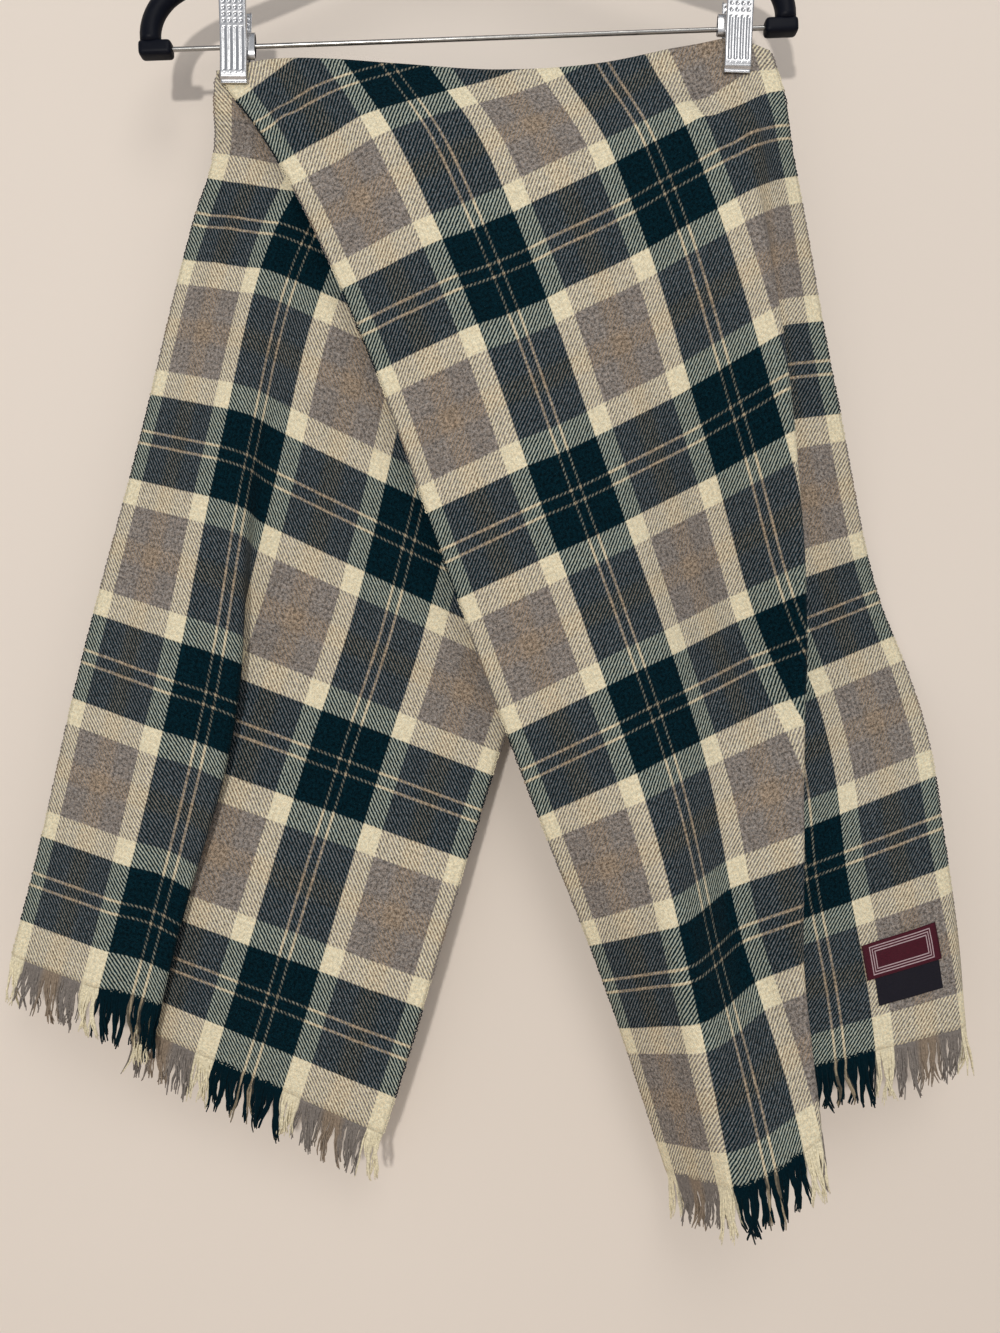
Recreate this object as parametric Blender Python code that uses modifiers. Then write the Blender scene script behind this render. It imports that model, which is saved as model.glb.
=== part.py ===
"""A woven wool scarf folded slantwise over and clamped by its fold in a clip hanger.

Metres, +Z up, the front towards -Y. The origin is the inner top of the hanger's hook.
The cloth is worked out weft by weft: each weft leaves the left selvedge, rises or falls across
the scarf, and turns about upright axes wherever the cloth is folded."""

import math

import bmesh
import bpy
import numpy as np
from mathutils import Vector

MM = 0.001
GAP = 0.3
SEAM = 0.22

# The cloth, in millimetres. v runs along the warp from the front hem to the back hem.
SCARF_WIDTH = 309.0
SCARF_LENGTH = 1342.0
WALL = 1.8
CREST_V_LEFT = 758.0
CREST_V_RIGHT = 620.0
CREST_X_LEFT = -152.0
CREST_X_RIGHT = 198.0
CREST_RADIUS = 5.0
CREST_BLEND = 90.0
STRIP_END = 70.0
PANEL_END = 118.0
MIDDLE_END = 180.0
SOFT_TURN = 22.0
PLEAT_TURN = 13.0
CURL_WIDTH = 15.0
WEFT_STEP = 0.5
WARP_LEAN = 0.4

# The fold line's height at shares of its way from the left corner to the right one.
CREST_COLUMNS = ("share", "z")
CREST = (
    (0.00, -236.0),
    (0.08, -229.5),
    (0.19, -229.0),
    (0.32, -232.0),
    (0.51, -236.0),
    (0.69, -232.0),
    (0.86, -220.0),
    (0.94, -215.5),
    (1.00, -223.0),
)

# A section of a fall at each weft v: where its left selvedge is, the slope of the weft in degrees
# over the strip by the selvedge, the middle and the part past the pleat, the turn away from the
# viewer of each part between folds, and the pleat: the x of its ridge, how far the cloth turns
# there, and how far it runs back before it turns forward again. gather is the share of its width
# that the cloth keeps before the middle, where fine ripples take up the rest, and curl the turn
# that the right selvedge makes on its own.
FALL_COLUMNS = (
    "v", "edge_x", "edge_y", "edge_z", "rise_strip", "rise_middle", "rise_past",
    "turn_strip", "turn_panel", "turn_middle", "turn_near", "ridge_x", "pleat_turn", "pleat_back",
    "turn_past", "gather", "curl",
)
FRONT_SECTIONS = (
    (790.0, -172.0, 0.0, -206.0, 25.0, 25.0, 25.0, 0.0, 0.0, 0.0, 0.0, 178.0, 0.0, 0.0, 0.0, 1.0, 0.0),
    (758.0, -152.0, -1.0, -236.0, 25.5, 25.5, 25.5, 0.0, 0.0, 0.0, 0.0, 178.0, 0.0, 0.0, 0.0, 1.0, 0.0),
    (706.0, -122.5, -2.0, -277.0, 25.5, 26.0, 25.0, -6.0, 2.0, 0.0, 0.0, 179.0, 8.0, 0.0, 8.0, 1.0, 0.0),
    (560.0, -59.0, -1.0, -404.0, 20.0, 27.5, 22.0, -16.0, 14.0, 4.0, -4.0, 182.0, 46.0, 4.0, 26.0, 1.0, 0.0),
    (414.0, -7.0, 3.0, -546.0, 22.5, 27.5, 9.0, -18.0, 14.0, 20.0, -20.0, 206.0, 108.0, 6.0, 16.0, 1.0, 0.0),
    (268.0, 44.0, 8.0, -685.0, 26.0, 21.0, 20.0, -20.0, 16.0, 31.0, -32.0, 223.0, 125.0, 7.0, 16.0, 1.0, 0.0),
    (122.0, 97.0, 18.0, -822.0, 18.0, 25.0, 18.0, -50.0, 40.0, -30.0, -32.0, 211.0, 148.0, 12.0, 9.0, 1.0, 5.0),
    (0.0, 138.0, 27.0, -946.0, 16.0, 41.0, 10.0, -66.0, 0.0, -24.0, -24.0, 218.0, 150.0, 25.0, 10.0, 1.0, 70.0),
)
BACK_SECTIONS = (
    (600.0, -81.0, 0.0, -92.0, -22.0, -22.0, -22.0, 0.0, 0.0, 0.0, 0.0, -60.0, 0.0, 0.0, 0.0, 1.0, 0.0),
    (762.0, -152.0, 1.0, -240.0, -20.0, -24.0, -24.0, 0.0, 0.0, 0.0, 0.0, -90.0, 0.0, 0.0, 0.0, 1.0, 0.0),
    (796.0, -154.0, 7.0, -273.5, -15.0, -25.0, -24.0, -8.0, 4.0, 0.0, 0.0, -98.0, 5.0, 0.0, 0.0, 0.92, 0.0),
    (852.0, -172.0, 15.0, -323.0, -13.0, -26.0, -24.0, -16.0, 10.0, 0.0, 0.0, -110.0, 10.0, 0.0, 0.0, 0.85, 0.0),
    (998.0, -207.0, 15.0, -465.5, -13.5, -31.0, -26.0, -16.0, 10.0, 0.0, 0.0, -135.0, 50.0, 2.0, 0.0, 0.83, 0.0),
    (1144.0, -243.5, 12.0, -608.5, -17.0, -25.0, -20.0, -18.0, 10.0, 0.0, 0.0, -142.0, 160.0, 5.0, 0.0, 1.0, 0.0),
    (1290.0, -275.5, 9.0, -752.5, -12.0, -42.0, -21.0, -20.0, 10.0, 0.0, 0.0, -176.0, 170.0, 12.0, 0.0, 1.0, 0.0),
    (1342.0, -288.5, 9.0, -802.5, -12.0, -34.0, -24.0, -20.0, 10.0, 0.0, 0.0, -188.0, 170.0, 12.0, 0.0, 1.0, 0.0),
)

# Columns of faces before the pleat, in its two turns and the run between them, and past it.
FRONT_COUNTS = (13, 5, 2, 5, 7)
BACK_COUNTS = (9, 5, 2, 5, 13)
FALL_ROWS = 32

# The clips: where each one stands along the rod, how far it leans, in degrees, and its jaw.
CLIP_X = {"left": -140.0, "right": 178.0}
CLIP_LEAN = {"left": 0.0, "right": 1.8}
CLIP_DROP = {"left": 0.0, "right": 5.0}
CLIP_WIDTH = 17.0
CLIP_PRESSED_RADIUS = 1.3
CLIP_REACH = 15.0
CLIP_PLAY = 1.2
CLIP_FADE = 34.0
CLIP_BOTTOM_Z = -250.0

# The hanger, in millimetres, in its own upright frame, which hangs tilted about the hook.
HANGER_TILT = 2.09
ROD_Z = -215.0
ROD_RADIUS = 1.5
FOOT_IN = 187.5
FOOT_OUT = 208.5
FOOT_HEIGHT = 10.0
FOOT_DEPTH = 12.0
ARM_RADIUS = 6.0
NECK_HALF = 13.0
NECK_TOP = -88.0
NECK_BOTTOM = -121.0
HOOK_WIRE = 2.0
HOOK_INNER = 19.0

FRINGE_ROOM = 1.4
FRINGE_STRIP = 3.0
FRINGE_LOCKS = 58
LABELS = {
    "brand_label": dict(s=(239.0, 291.0), v=(43.0, 65.0), colour=(0.08, 0.006, 0.018)),
    "care_label": dict(s=(244.5, 289.0), v=(26.0, 41.0), colour=(0.010, 0.008, 0.018)),
}
LABEL_THICKNESS = 0.6
LABEL_CLEAR = 0.8


def clear_scene():
    for item in list(bpy.data.objects):
        bpy.data.objects.remove(item)


def ease(t):
    """0 to 1 along a smooth step."""
    t = np.clip(t, 0.0, 1.0)
    return t * t * (3.0 - 2.0 * t)


def along(table, columns, name, at):
    """A named column's value at each place in the first column, on a smooth curve."""
    rows = np.array(sorted(table))
    place = rows[:, 0]
    value = rows[:, columns.index(name)]
    slope = np.gradient(value, place)
    at = np.clip(at, place[0], place[-1])
    i = np.clip(np.searchsorted(place, at) - 1, 0, len(place) - 2)
    span = place[i + 1] - place[i]
    t = (at - place[i]) / span
    return (
        (2 * t**3 - 3 * t**2 + 1) * value[i]
        + (t**3 - 2 * t**2 + t) * span * slope[i]
        + (3 * t**2 - 2 * t**3) * value[i + 1]
        + (t**3 - t**2) * span * slope[i + 1]
    )


def crest_v(s):
    """How far up the warp the slanting fold crosses the place s of the weft."""
    return CREST_V_LEFT + (CREST_V_RIGHT - CREST_V_LEFT) * s / SCARF_WIDTH


def wefts(sections, v):
    """The paths of the wefts at each v: arrays (v, s) of x, y and z, and where each pleat starts."""
    part = {name: along(sections, FALL_COLUMNS, name, v)[:, None] for name in FALL_COLUMNS[1:]}
    s = np.arange(0.0, SCARF_WIDTH + WEFT_STEP, WEFT_STEP)[None, :]
    strip = 1.0 - ease((s - STRIP_END) / SOFT_TURN + 0.5)
    before_middle = 1.0 - ease((s - PANEL_END) / SOFT_TURN + 0.5)
    near = ease((s - MIDDLE_END) / SOFT_TURN + 0.5)
    turn = (
        part["turn_strip"] * strip
        + part["turn_panel"] * (1.0 - strip) * before_middle
        + part["turn_middle"] * (1.0 - before_middle) * (1.0 - near)
        + part["turn_near"] * near
    )
    inner = ease((s - STRIP_END) / 50.0)
    rise = part["rise_strip"] * (1.0 - inner) + part["rise_middle"] * inner
    kept = part["gather"] * before_middle + 1.0 - before_middle
    across = np.cos(np.radians(turn)) * np.cos(np.radians(rise)) * kept
    flat_x = part["edge_x"] + (np.cumsum(across, axis=1) - across) * WEFT_STEP
    reach = part["ridge_x"] - 4.0
    start = np.array([np.interp(r, x, s[0]) for r, x in zip(reach[:, 0], flat_x)])[:, None]
    past = s - start
    out = ease(past / PLEAT_TURN)
    back = ease((past - PLEAT_TURN - part["pleat_back"]) / PLEAT_TURN)
    turn = turn * (1.0 - out) + part["pleat_turn"] * out * (1.0 - back) + part["turn_past"] * back
    beyond = ease((past - PLEAT_TURN - part["pleat_back"]) / (2.0 * PLEAT_TURN))
    rise = rise * (1.0 - beyond) + part["rise_past"] * beyond
    turn = turn + part["curl"] * ease((s - SCARF_WIDTH + CURL_WIDTH) / CURL_WIDTH)
    turn = np.radians(turn)
    rise = np.radians(rise)

    def summed(rate):
        rate = rate * kept
        middle = (rate[:, 1:] + rate[:, :-1]) / 2.0 * WEFT_STEP
        return np.concatenate([np.zeros((len(v), 1)), np.cumsum(middle, axis=1)], axis=1)

    x = part["edge_x"] + summed(np.cos(turn) * np.cos(rise))
    y = part["edge_y"] + summed(np.sin(turn) * np.cos(rise))
    z = part["edge_z"] + summed(np.sin(rise))
    return x, y, z, start[:, 0]


def fold_radius(clamped):
    """The radius that the cloth turns over the fold line with."""
    return CLIP_PRESSED_RADIUS + (CREST_RADIUS - CLIP_PRESSED_RADIUS) * (1.0 - clamped)


class Fall:
    """One fall of the scarf. points(s, v) gives its middle surface, in metres."""

    def __init__(self, sections, side, counts):
        self.sections = sections
        self.side = side
        self.counts = counts
        low = min(row[0] for row in sections)
        high = max(row[0] for row in sections)
        self.v = np.linspace(low, high, int(high - low) // 2 + 1)
        self.x, self.y, self.z, self.start = wefts(sections, self.v)

    def laid(self, grid, s, v):
        """Reads one of the weft arrays between its lines."""
        i = (v - self.v[0]) / (self.v[1] - self.v[0])
        i0 = np.clip(np.floor(i).astype(int), 0, len(self.v) - 2)
        j = s / WEFT_STEP
        j0 = np.clip(np.floor(j).astype(int), 0, grid.shape[1] - 2)
        a = i - i0
        b = j - j0
        return (
            grid[i0, j0] * (1 - a) * (1 - b)
            + grid[i0 + 1, j0] * a * (1 - b)
            + grid[i0, j0 + 1] * (1 - a) * b
            + grid[i0 + 1, j0 + 1] * a * b
        )

    def crest(self, s):
        """x and z of the fold line at each s."""
        share = s / SCARF_WIDTH
        x = CREST_X_LEFT + (CREST_X_RIGHT - CREST_X_LEFT) * share
        return x, along(CREST, CREST_COLUMNS, "z", share)

    def clamped(self, s, down):
        """How firmly a clip presses the cloth, 0 to 1, at a depth below the fold line."""
        crest_x, crest_z = self.crest(s)
        below = crest_z - down
        pressed = np.zeros_like(s)
        for clip_x in CLIP_X.values():
            aside = np.abs(crest_x - self.side * down * WARP_LEAN - clip_x)
            beside = 1.0 - ease((aside - CLIP_REACH) / CLIP_FADE)
            under = 1.0 - ease((CLIP_BOTTOM_Z - 3.0 - below) / CLIP_FADE)
            pressed = np.maximum(pressed, beside * under)
        return pressed

    def points(self, s, v):
        s = np.asarray(s, float)
        v = np.asarray(v, float)
        top = crest_v(s)
        crest_x, crest_z = self.crest(s)
        down = np.abs(top - v)
        clamped = self.clamped(s, down)
        radius = fold_radius(clamped)
        angle = np.minimum(down / radius, math.pi / 2)
        drop = radius * (1.0 - np.cos(angle)) + np.maximum(down - radius * math.pi / 2, 0.0)
        at = top - drop if self.side < 0 else top + drop
        held = 1.0 - ease(down / CREST_BLEND)
        x = self.laid(self.x, s, at) + (crest_x - self.laid(self.x, s, top)) * held
        z = self.laid(self.z, s, at) + (crest_z - self.laid(self.z, s, top)) * held
        free = ease(down / (CREST_BLEND * 0.8)) * (1.0 - clamped)
        y = self.side * radius * np.sin(angle) + self.laid(self.y, s, at) * free
        return np.stack([x, y, z], axis=-1) * MM

    def columns(self, v):
        """Places across the weft at v, closer together round the pleat's two turns."""
        start = float(np.interp(v, self.v, self.start))
        back = float(along(self.sections, FALL_COLUMNS, "pleat_back", np.array([v]))[0]) + 2.0
        length = 2.0 * PLEAT_TURN + back
        start = min(start, SCARF_WIDTH - length - 6.0)
        knots = (0.0, start, start + PLEAT_TURN, start + PLEAT_TURN + back, start + length, SCARF_WIDTH)
        runs = [np.linspace(a, b, n, endpoint=False) for a, b, n in zip(knots, knots[1:], self.counts)]
        return np.append(np.concatenate(runs), SCARF_WIDTH)

    def grid(self, rows):
        """s and v of a grid of rows from just off the crest to the hem."""
        hem = 0.0 if self.side < 0 else SCARF_LENGTH
        middle = crest_v(SCARF_WIDTH * 0.6)
        over = np.append(np.zeros(2), np.linspace(0.0, 1.0, 5)[1:])
        shares = np.linspace(0.0, 1.0, rows - len(over) + 2)[1:]
        steps = [(turned, 0.0) for turned in over] + [(1.0, share**1.05) for share in shares]
        s = np.empty((len(steps), sum(self.counts) + 1))
        v = np.empty_like(s)
        for i, (turned, share) in enumerate(steps):
            s[i] = self.columns(middle + share * (hem - middle))
            radius = fold_radius(self.clamped(s[i], np.zeros_like(s[i])))
            first = radius * np.arcsin(SEAM / (radius - WALL / 2))
            quarter = radius * math.pi / 2
            top = crest_v(s[i])
            down = first + GAP * min(i, 1) + (quarter - first - GAP) * turned
            down = down + share * (np.abs(hem - top) - quarter)
            v[i] = top + self.side * down
        return s, v


def material(name, colour, roughness, metallic=0.0):
    made = bpy.data.materials.new(name)
    made.use_nodes = True
    shader = made.node_tree.nodes["Principled BSDF"]
    shader.inputs["Base Color"].default_value = (*colour, 1.0)
    shader.inputs["Roughness"].default_value = roughness
    shader.inputs["Metallic"].default_value = metallic
    return made


def add_object(name, data, surface, collection, parent=None):
    made = bpy.data.objects.new(name, data)
    data.materials.append(surface)
    made.parent = parent
    collection.objects.link(made)
    return made


def sheet_mesh(name, points):
    """An open sheet of quads through rows of points."""
    rows, columns = points.shape[:2]
    faces = [
        (i * columns + j, i * columns + j + 1, (i + 1) * columns + j + 1, (i + 1) * columns + j)
        for i in range(rows - 1)
        for j in range(columns - 1)
    ]
    mesh = bpy.data.meshes.new(name)
    mesh.from_pydata([tuple(p) for p in points.reshape(-1, 3)], [], faces)
    mesh.update()
    mesh.shade_smooth()
    return mesh


def thicken(item, thickness, offset=0.0):
    wall = item.modifiers.new("wall", "SOLIDIFY")
    wall.thickness = thickness * MM
    wall.offset = offset
    wall.use_even_offset = True


def add_fall(name, fall, surface, collection):
    """A fall of the cloth as one wall."""
    s, v = fall.grid(FALL_ROWS)
    item = add_object(name, sheet_mesh(name, fall.points(s, v)), surface, collection)
    thicken(item, WALL)


def normals(fall, s, v):
    """Unit normals of a fall's middle surface, towards the viewer."""
    across = fall.points(s + 0.5, v) - fall.points(s - 0.5, v)
    up = fall.points(s, v + 0.5) - fall.points(s, v - 0.5)
    normal = np.cross(across, up)
    return normal / np.linalg.norm(normal, axis=-1, keepdims=True)


def add_label(name, size, fall, collection):
    """A woven label made from the points of the cloth that it lies on, moved out."""
    s, v = np.meshgrid(np.linspace(*size["s"], 9), np.linspace(size["v"][1], size["v"][0], 5))
    off = (WALL / 2 + LABEL_CLEAR + LABEL_THICKNESS / 2) * MM
    points = fall.points(s, v) + normals(fall, s, v) * off
    surface = material(name, size["colour"], 0.85)
    item = add_object(name, sheet_mesh(name, points), surface, collection)
    thicken(item, LABEL_THICKNESS)


def add_fringe(name, fall, surface, collection):
    """Locks of unwoven warp ends, fused at their roots into a strip just off the hem."""
    hem = 0.0 if fall.side < 0 else SCARF_LENGTH
    pitch = SCARF_WIDTH / FRINGE_LOCKS
    s = np.array([
        place
        for k in range(FRINGE_LOCKS)
        for place in (k * pitch + 0.7, (k + 1) * pitch - 0.7)
    ])
    v = np.full_like(s, hem)
    inside = v - fall.side * 4.0
    edge = fall.points(s, v)
    warp = edge - fall.points(s, inside)
    warp /= np.linalg.norm(warp, axis=-1, keepdims=True)
    out = normals(fall, s, inside) * WALL / 2 * MM
    rings = []
    for way in (FRINGE_ROOM * MM, (FRINGE_ROOM + FRINGE_STRIP) * MM):
        middle = edge + warp * way
        rings.append((middle + out, middle - out))
    form = bmesh.new()
    stations = [
        [form.verts.new(tuple(p)) for p in (rings[0][0][i], rings[0][1][i], rings[1][1][i], rings[1][0][i])]
        for i in range(len(s))
    ]
    roots = []
    for i, (here, there) in enumerate(zip(stations, stations[1:])):
        for a in range(4):
            b = (a + 1) % 4
            face = form.faces.new((here[a], here[b], there[b], there[a]))
            if a == 2 and i % 2 == 0:
                roots.append(face)
    form.faces.new(stations[0])
    form.faces.new(stations[-1])
    bmesh.ops.recalc_face_normals(form, faces=form.faces)
    for k, root in enumerate(roots):
        length = 31.0 + 4.0 * math.sin(k * 2.3) + 2.5 * math.sin(k * 0.61 + 1.0)
        way = Vector(warp[2 * k])
        lean = Vector((0.10 * math.sin(k * 0.35), 0.06 * math.sin(k * 0.5 + 2.0), -1.0))
        face = root
        for step, width in enumerate((0.8, 0.85, 0.6)):
            grown = bmesh.ops.extrude_discrete_faces(form, faces=[face])
            face = grown["faces"][0]
            share = (step + 1) / 3.0
            heading = (way * (1.0 - share * 0.7) + lean * share * 0.7).normalized()
            bmesh.ops.translate(form, verts=face.verts, vec=heading * length / 3.0 * MM)
            centre = face.calc_center_median()
            for vert in face.verts:
                vert.co = centre + (vert.co - centre) * width
    mesh = bpy.data.meshes.new(name)
    form.to_mesh(mesh)
    form.free()
    add_object(name, mesh, surface, collection)


def add_wire(name, route, radius, surface, collection, parent, sides=2):
    """A wire or bar of round section along a route of points, in millimetres."""
    curve = bpy.data.curves.new(name, "CURVE")
    curve.dimensions = "3D"
    curve.bevel_depth = radius * MM
    curve.bevel_resolution = sides
    curve.use_fill_caps = True
    spline = curve.splines.new("POLY")
    spline.points.add(len(route) - 1)
    for point, place in zip(spline.points, route):
        point.co = (place[0] * MM, place[1] * MM, place[2] * MM, 1.0)
    return add_object(name, curve, surface, collection, parent)


def add_block(name, low, high, rounding, surface, collection, parent):
    """A box between two corners, in millimetres, with rounded edges."""
    form = bmesh.new()
    bmesh.ops.create_cube(form, size=1.0)
    low = Vector(low) * MM
    high = Vector(high) * MM
    for vert in form.verts:
        vert.co = Vector([l + (c + 0.5) * (h - l) for l, h, c in zip(low, high, vert.co)])
    mesh = bpy.data.meshes.new(name)
    form.to_mesh(mesh)
    form.free()
    item = add_object(name, mesh, surface, collection, parent)
    soft = item.modifiers.new("rounding", "BEVEL")
    soft.width = rounding * MM
    soft.segments = 2
    return item


def add_hanger(collection):
    """The hanger: a wire hook in a moulded neck, two arms with feet, and the rod between them."""
    frame = bpy.data.objects.new("hanger_frame", None)
    frame.rotation_euler = (0.0, -math.radians(HANGER_TILT), 0.0)
    collection.objects.link(frame)
    black = material("hanger_plastic", (0.006, 0.007, 0.010), 0.35)
    steel = material("polished_steel", (0.62, 0.62, 0.60), 0.25, 1.0)
    wire_ring = HOOK_INNER + HOOK_WIRE
    ring = [math.radians(a) for a in range(-52, 206, 12)]
    hook = [(0.0, 0.0, NECK_TOP + GAP), (0.0, 0.0, -70.0), (0.6, 0.0, -60.0), (3.0, 0.0, -50.0),
            (7.5, 0.0, -42.0)]
    hook += [(wire_ring * math.cos(a), 0.0, -HOOK_INNER + wire_ring * math.sin(a)) for a in ring]
    add_wire("hanger_hook", hook, HOOK_WIRE, steel, collection, frame)
    add_block("hanger_neck", (-NECK_HALF, -7.0, NECK_BOTTOM), (NECK_HALF, 7.0, NECK_TOP), 3.0,
              black, collection, frame)
    ends = FOOT_IN - GAP
    add_wire("hanger_rod", [(-ends, 0.0, ROD_Z), (ends, 0.0, ROD_Z)], ROD_RADIUS, steel,
             collection, frame)
    foot_top = ROD_Z + FOOT_HEIGHT / 2
    for name, side in (("left", -1.0), ("right", 1.0)):
        knots = (
            (NECK_HALF + GAP, -113.5), (20.0, -113.5), (34.0, -118.5), (70.0, -133.5),
            (110.0, -149.5), (140.0, -161.0), (160.0, -168.5), (177.0, -176.0), (189.0, -184.5),
            (196.5, -194.5), (199.5, -203.5), (199.5, ROD_Z + FOOT_HEIGHT / 2 + GAP),
        )
        arm = [(side * x, 0.0, z) for x, z in knots]
        add_wire("hanger_arm_" + name, arm, ARM_RADIUS, black, collection, frame, 3)
        inner, outer = sorted((side * FOOT_IN, side * FOOT_OUT))
        add_block("hanger_foot_" + name, (inner, -FOOT_DEPTH / 2, foot_top - FOOT_HEIGHT),
                  (outer, FOOT_DEPTH / 2, foot_top), 2.0, black, collection, frame)
    return frame, steel


def add_clip(name, steel, collection, frame):
    """A spring clip: two pressed plates whose jaws grip the cloth, and the spring round the rod."""
    x = CLIP_X[name]
    holder = bpy.data.objects.new("clip_frame_" + name, None)
    tilt = math.radians(HANGER_TILT)
    along_rod = x * math.cos(tilt) + ROD_Z * math.sin(tilt)
    holder.parent = frame
    holder.location = (along_rod * MM, 0.0, (ROD_Z - CLIP_DROP[name]) * MM)
    holder.rotation_euler = (0.0, math.radians(HANGER_TILT + CLIP_LEAN[name]), 0.0)
    collection.objects.link(holder)
    inner = CLIP_PRESSED_RADIUS + WALL / 2 + CLIP_PLAY
    profile = ((4.8, -25.0), (inner, -21.0), (inner, -9.0), (5.6, -2.0), (6.4, 6.0), (9.0, 27.0))
    for face, side in (("front", -1.0), ("back", 1.0)):
        across = np.linspace(-CLIP_WIDTH / 2, CLIP_WIDTH / 2, 3)
        points = np.array([[(a, side * y, z) for a in across] for y, z in profile]) * MM
        item = add_object(f"clip_{face}_{name}", sheet_mesh(f"clip_{face}_{name}", points), steel,
                          collection, holder)
        thicken(item, 1.2)
    spring = bpy.data.meshes.new("clip_spring_" + name)
    form = bmesh.new()
    bmesh.ops.create_circle(form, segments=20, radius=4.0 * MM)
    bmesh.ops.create_circle(form, segments=20, radius=2.9 * MM)
    bmesh.ops.bridge_loops(form, edges=form.edges)
    middle = -math.copysign(CLIP_WIDTH / 2 - 1.0, x) * MM
    for vert in form.verts:
        vert.co = Vector((middle, vert.co.x, vert.co.y * 1.25 + CLIP_DROP[name] * MM))
    form.to_mesh(spring)
    form.free()
    item = add_object("clip_spring_" + name, spring, steel, collection, holder)
    thicken(item, 11.0)


def build():
    clear_scene()
    collection = bpy.data.collections.new("wool_scarf_on_hanger")
    bpy.context.scene.collection.children.link(collection)
    front = Fall(FRONT_SECTIONS, -1, FRONT_COUNTS)
    back = Fall(BACK_SECTIONS, 1, BACK_COUNTS)
    wool = material("plaid_wool", (0.20, 0.22, 0.21), 0.95)
    yarn = material("fringe_yarn", (0.30, 0.30, 0.27), 0.95)
    add_fall("scarf_front_fall", front, wool, collection)
    add_fall("scarf_back_fall", back, wool, collection)
    add_fringe("fringe_front", front, yarn, collection)
    add_fringe("fringe_back", back, yarn, collection)
    for name, size in LABELS.items():
        add_label(name, size, front, collection)
    frame, steel = add_hanger(collection)
    for name in CLIP_X:
        add_clip(name, steel, collection, frame)
    bpy.context.view_layer.update()


build()
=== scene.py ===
"""A tartan wool scarf folded slantwise over and held by its fold in a clip hanger."""
import math

import bmesh
import bpy
import numpy as np
from mathutils import Matrix, Vector


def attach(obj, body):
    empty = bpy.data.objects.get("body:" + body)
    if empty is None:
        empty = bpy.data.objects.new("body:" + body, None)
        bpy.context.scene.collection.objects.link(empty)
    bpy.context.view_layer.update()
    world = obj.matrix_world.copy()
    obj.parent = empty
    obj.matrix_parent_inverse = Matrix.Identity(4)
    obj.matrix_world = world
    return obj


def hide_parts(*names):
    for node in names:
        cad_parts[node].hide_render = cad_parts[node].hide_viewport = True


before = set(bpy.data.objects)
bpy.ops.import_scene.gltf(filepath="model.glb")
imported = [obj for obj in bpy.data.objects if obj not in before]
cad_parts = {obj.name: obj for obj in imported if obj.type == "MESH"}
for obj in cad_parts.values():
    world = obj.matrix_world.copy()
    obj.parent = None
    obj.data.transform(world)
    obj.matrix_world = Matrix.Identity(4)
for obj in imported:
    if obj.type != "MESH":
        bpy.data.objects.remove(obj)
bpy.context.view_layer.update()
MM = 0.001

# The photographer stands close in front of the hanging scarf, at the height of its middle, and
# holds a wide lens level. The lens is 27.7 mm on a 36 mm frame's long side.
lens = bpy.data.cameras.new("photographer")
lens.sensor_fit = "VERTICAL"
lens.sensor_height = 36.0
lens.lens = 27.7
lens.clip_start = 0.01
photographer = bpy.data.objects.new("photographer", lens)
photographer.location = (0.0278, -0.65, -0.6127)
photographer.rotation_euler = (math.pi / 2, 0.0, 0.0)
bpy.context.scene.collection.objects.link(photographer)
bpy.context.scene.camera = photographer

# The woven cloth: one brushed 2/2 twill of worsted wool, 309 by 1342 mm, folded slantwise over
# itself. v runs along the warp from the front hem to the back hem, s across from the selvedge at
# the left. Each weft is followed across the scarf through its slopes and turns.
SCARF_WIDTH = 309.0
SCARF_LENGTH = 1342.0
CLOTH_WALL = 1.4
FOLD_V = (758.0, 620.0)
FOLD_X = (-152.0, 198.0)
FOLD_RADIUS = 5.0
PRESSED_RADIUS = 1.3
FOLD_BLEND = 90.0
STRIP_END, PANEL_END, MIDDLE_END = 70.0, 118.0, 180.0
SOFT_TURN, PLEAT_TURN, WEFT_STEP, WARP_LEAN = 22.0, 13.0, 0.5, 0.4
CURL_WIDTH = 15.0
FOLD_LINE = (
    (0.00, -236.0), (0.08, -229.5), (0.19, -229.0), (0.32, -232.0), (0.51, -236.0),
    (0.69, -232.0), (0.86, -220.0), (0.94, -215.5), (1.00, -223.0),
)
FALL_COLUMNS = (
    "v", "edge_x", "edge_y", "edge_z", "rise_strip", "rise_middle", "rise_past",
    "turn_strip", "turn_panel", "turn_middle", "turn_near", "ridge_x", "pleat_turn", "pleat_back",
    "turn_past", "gather", "curl",
)
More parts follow.
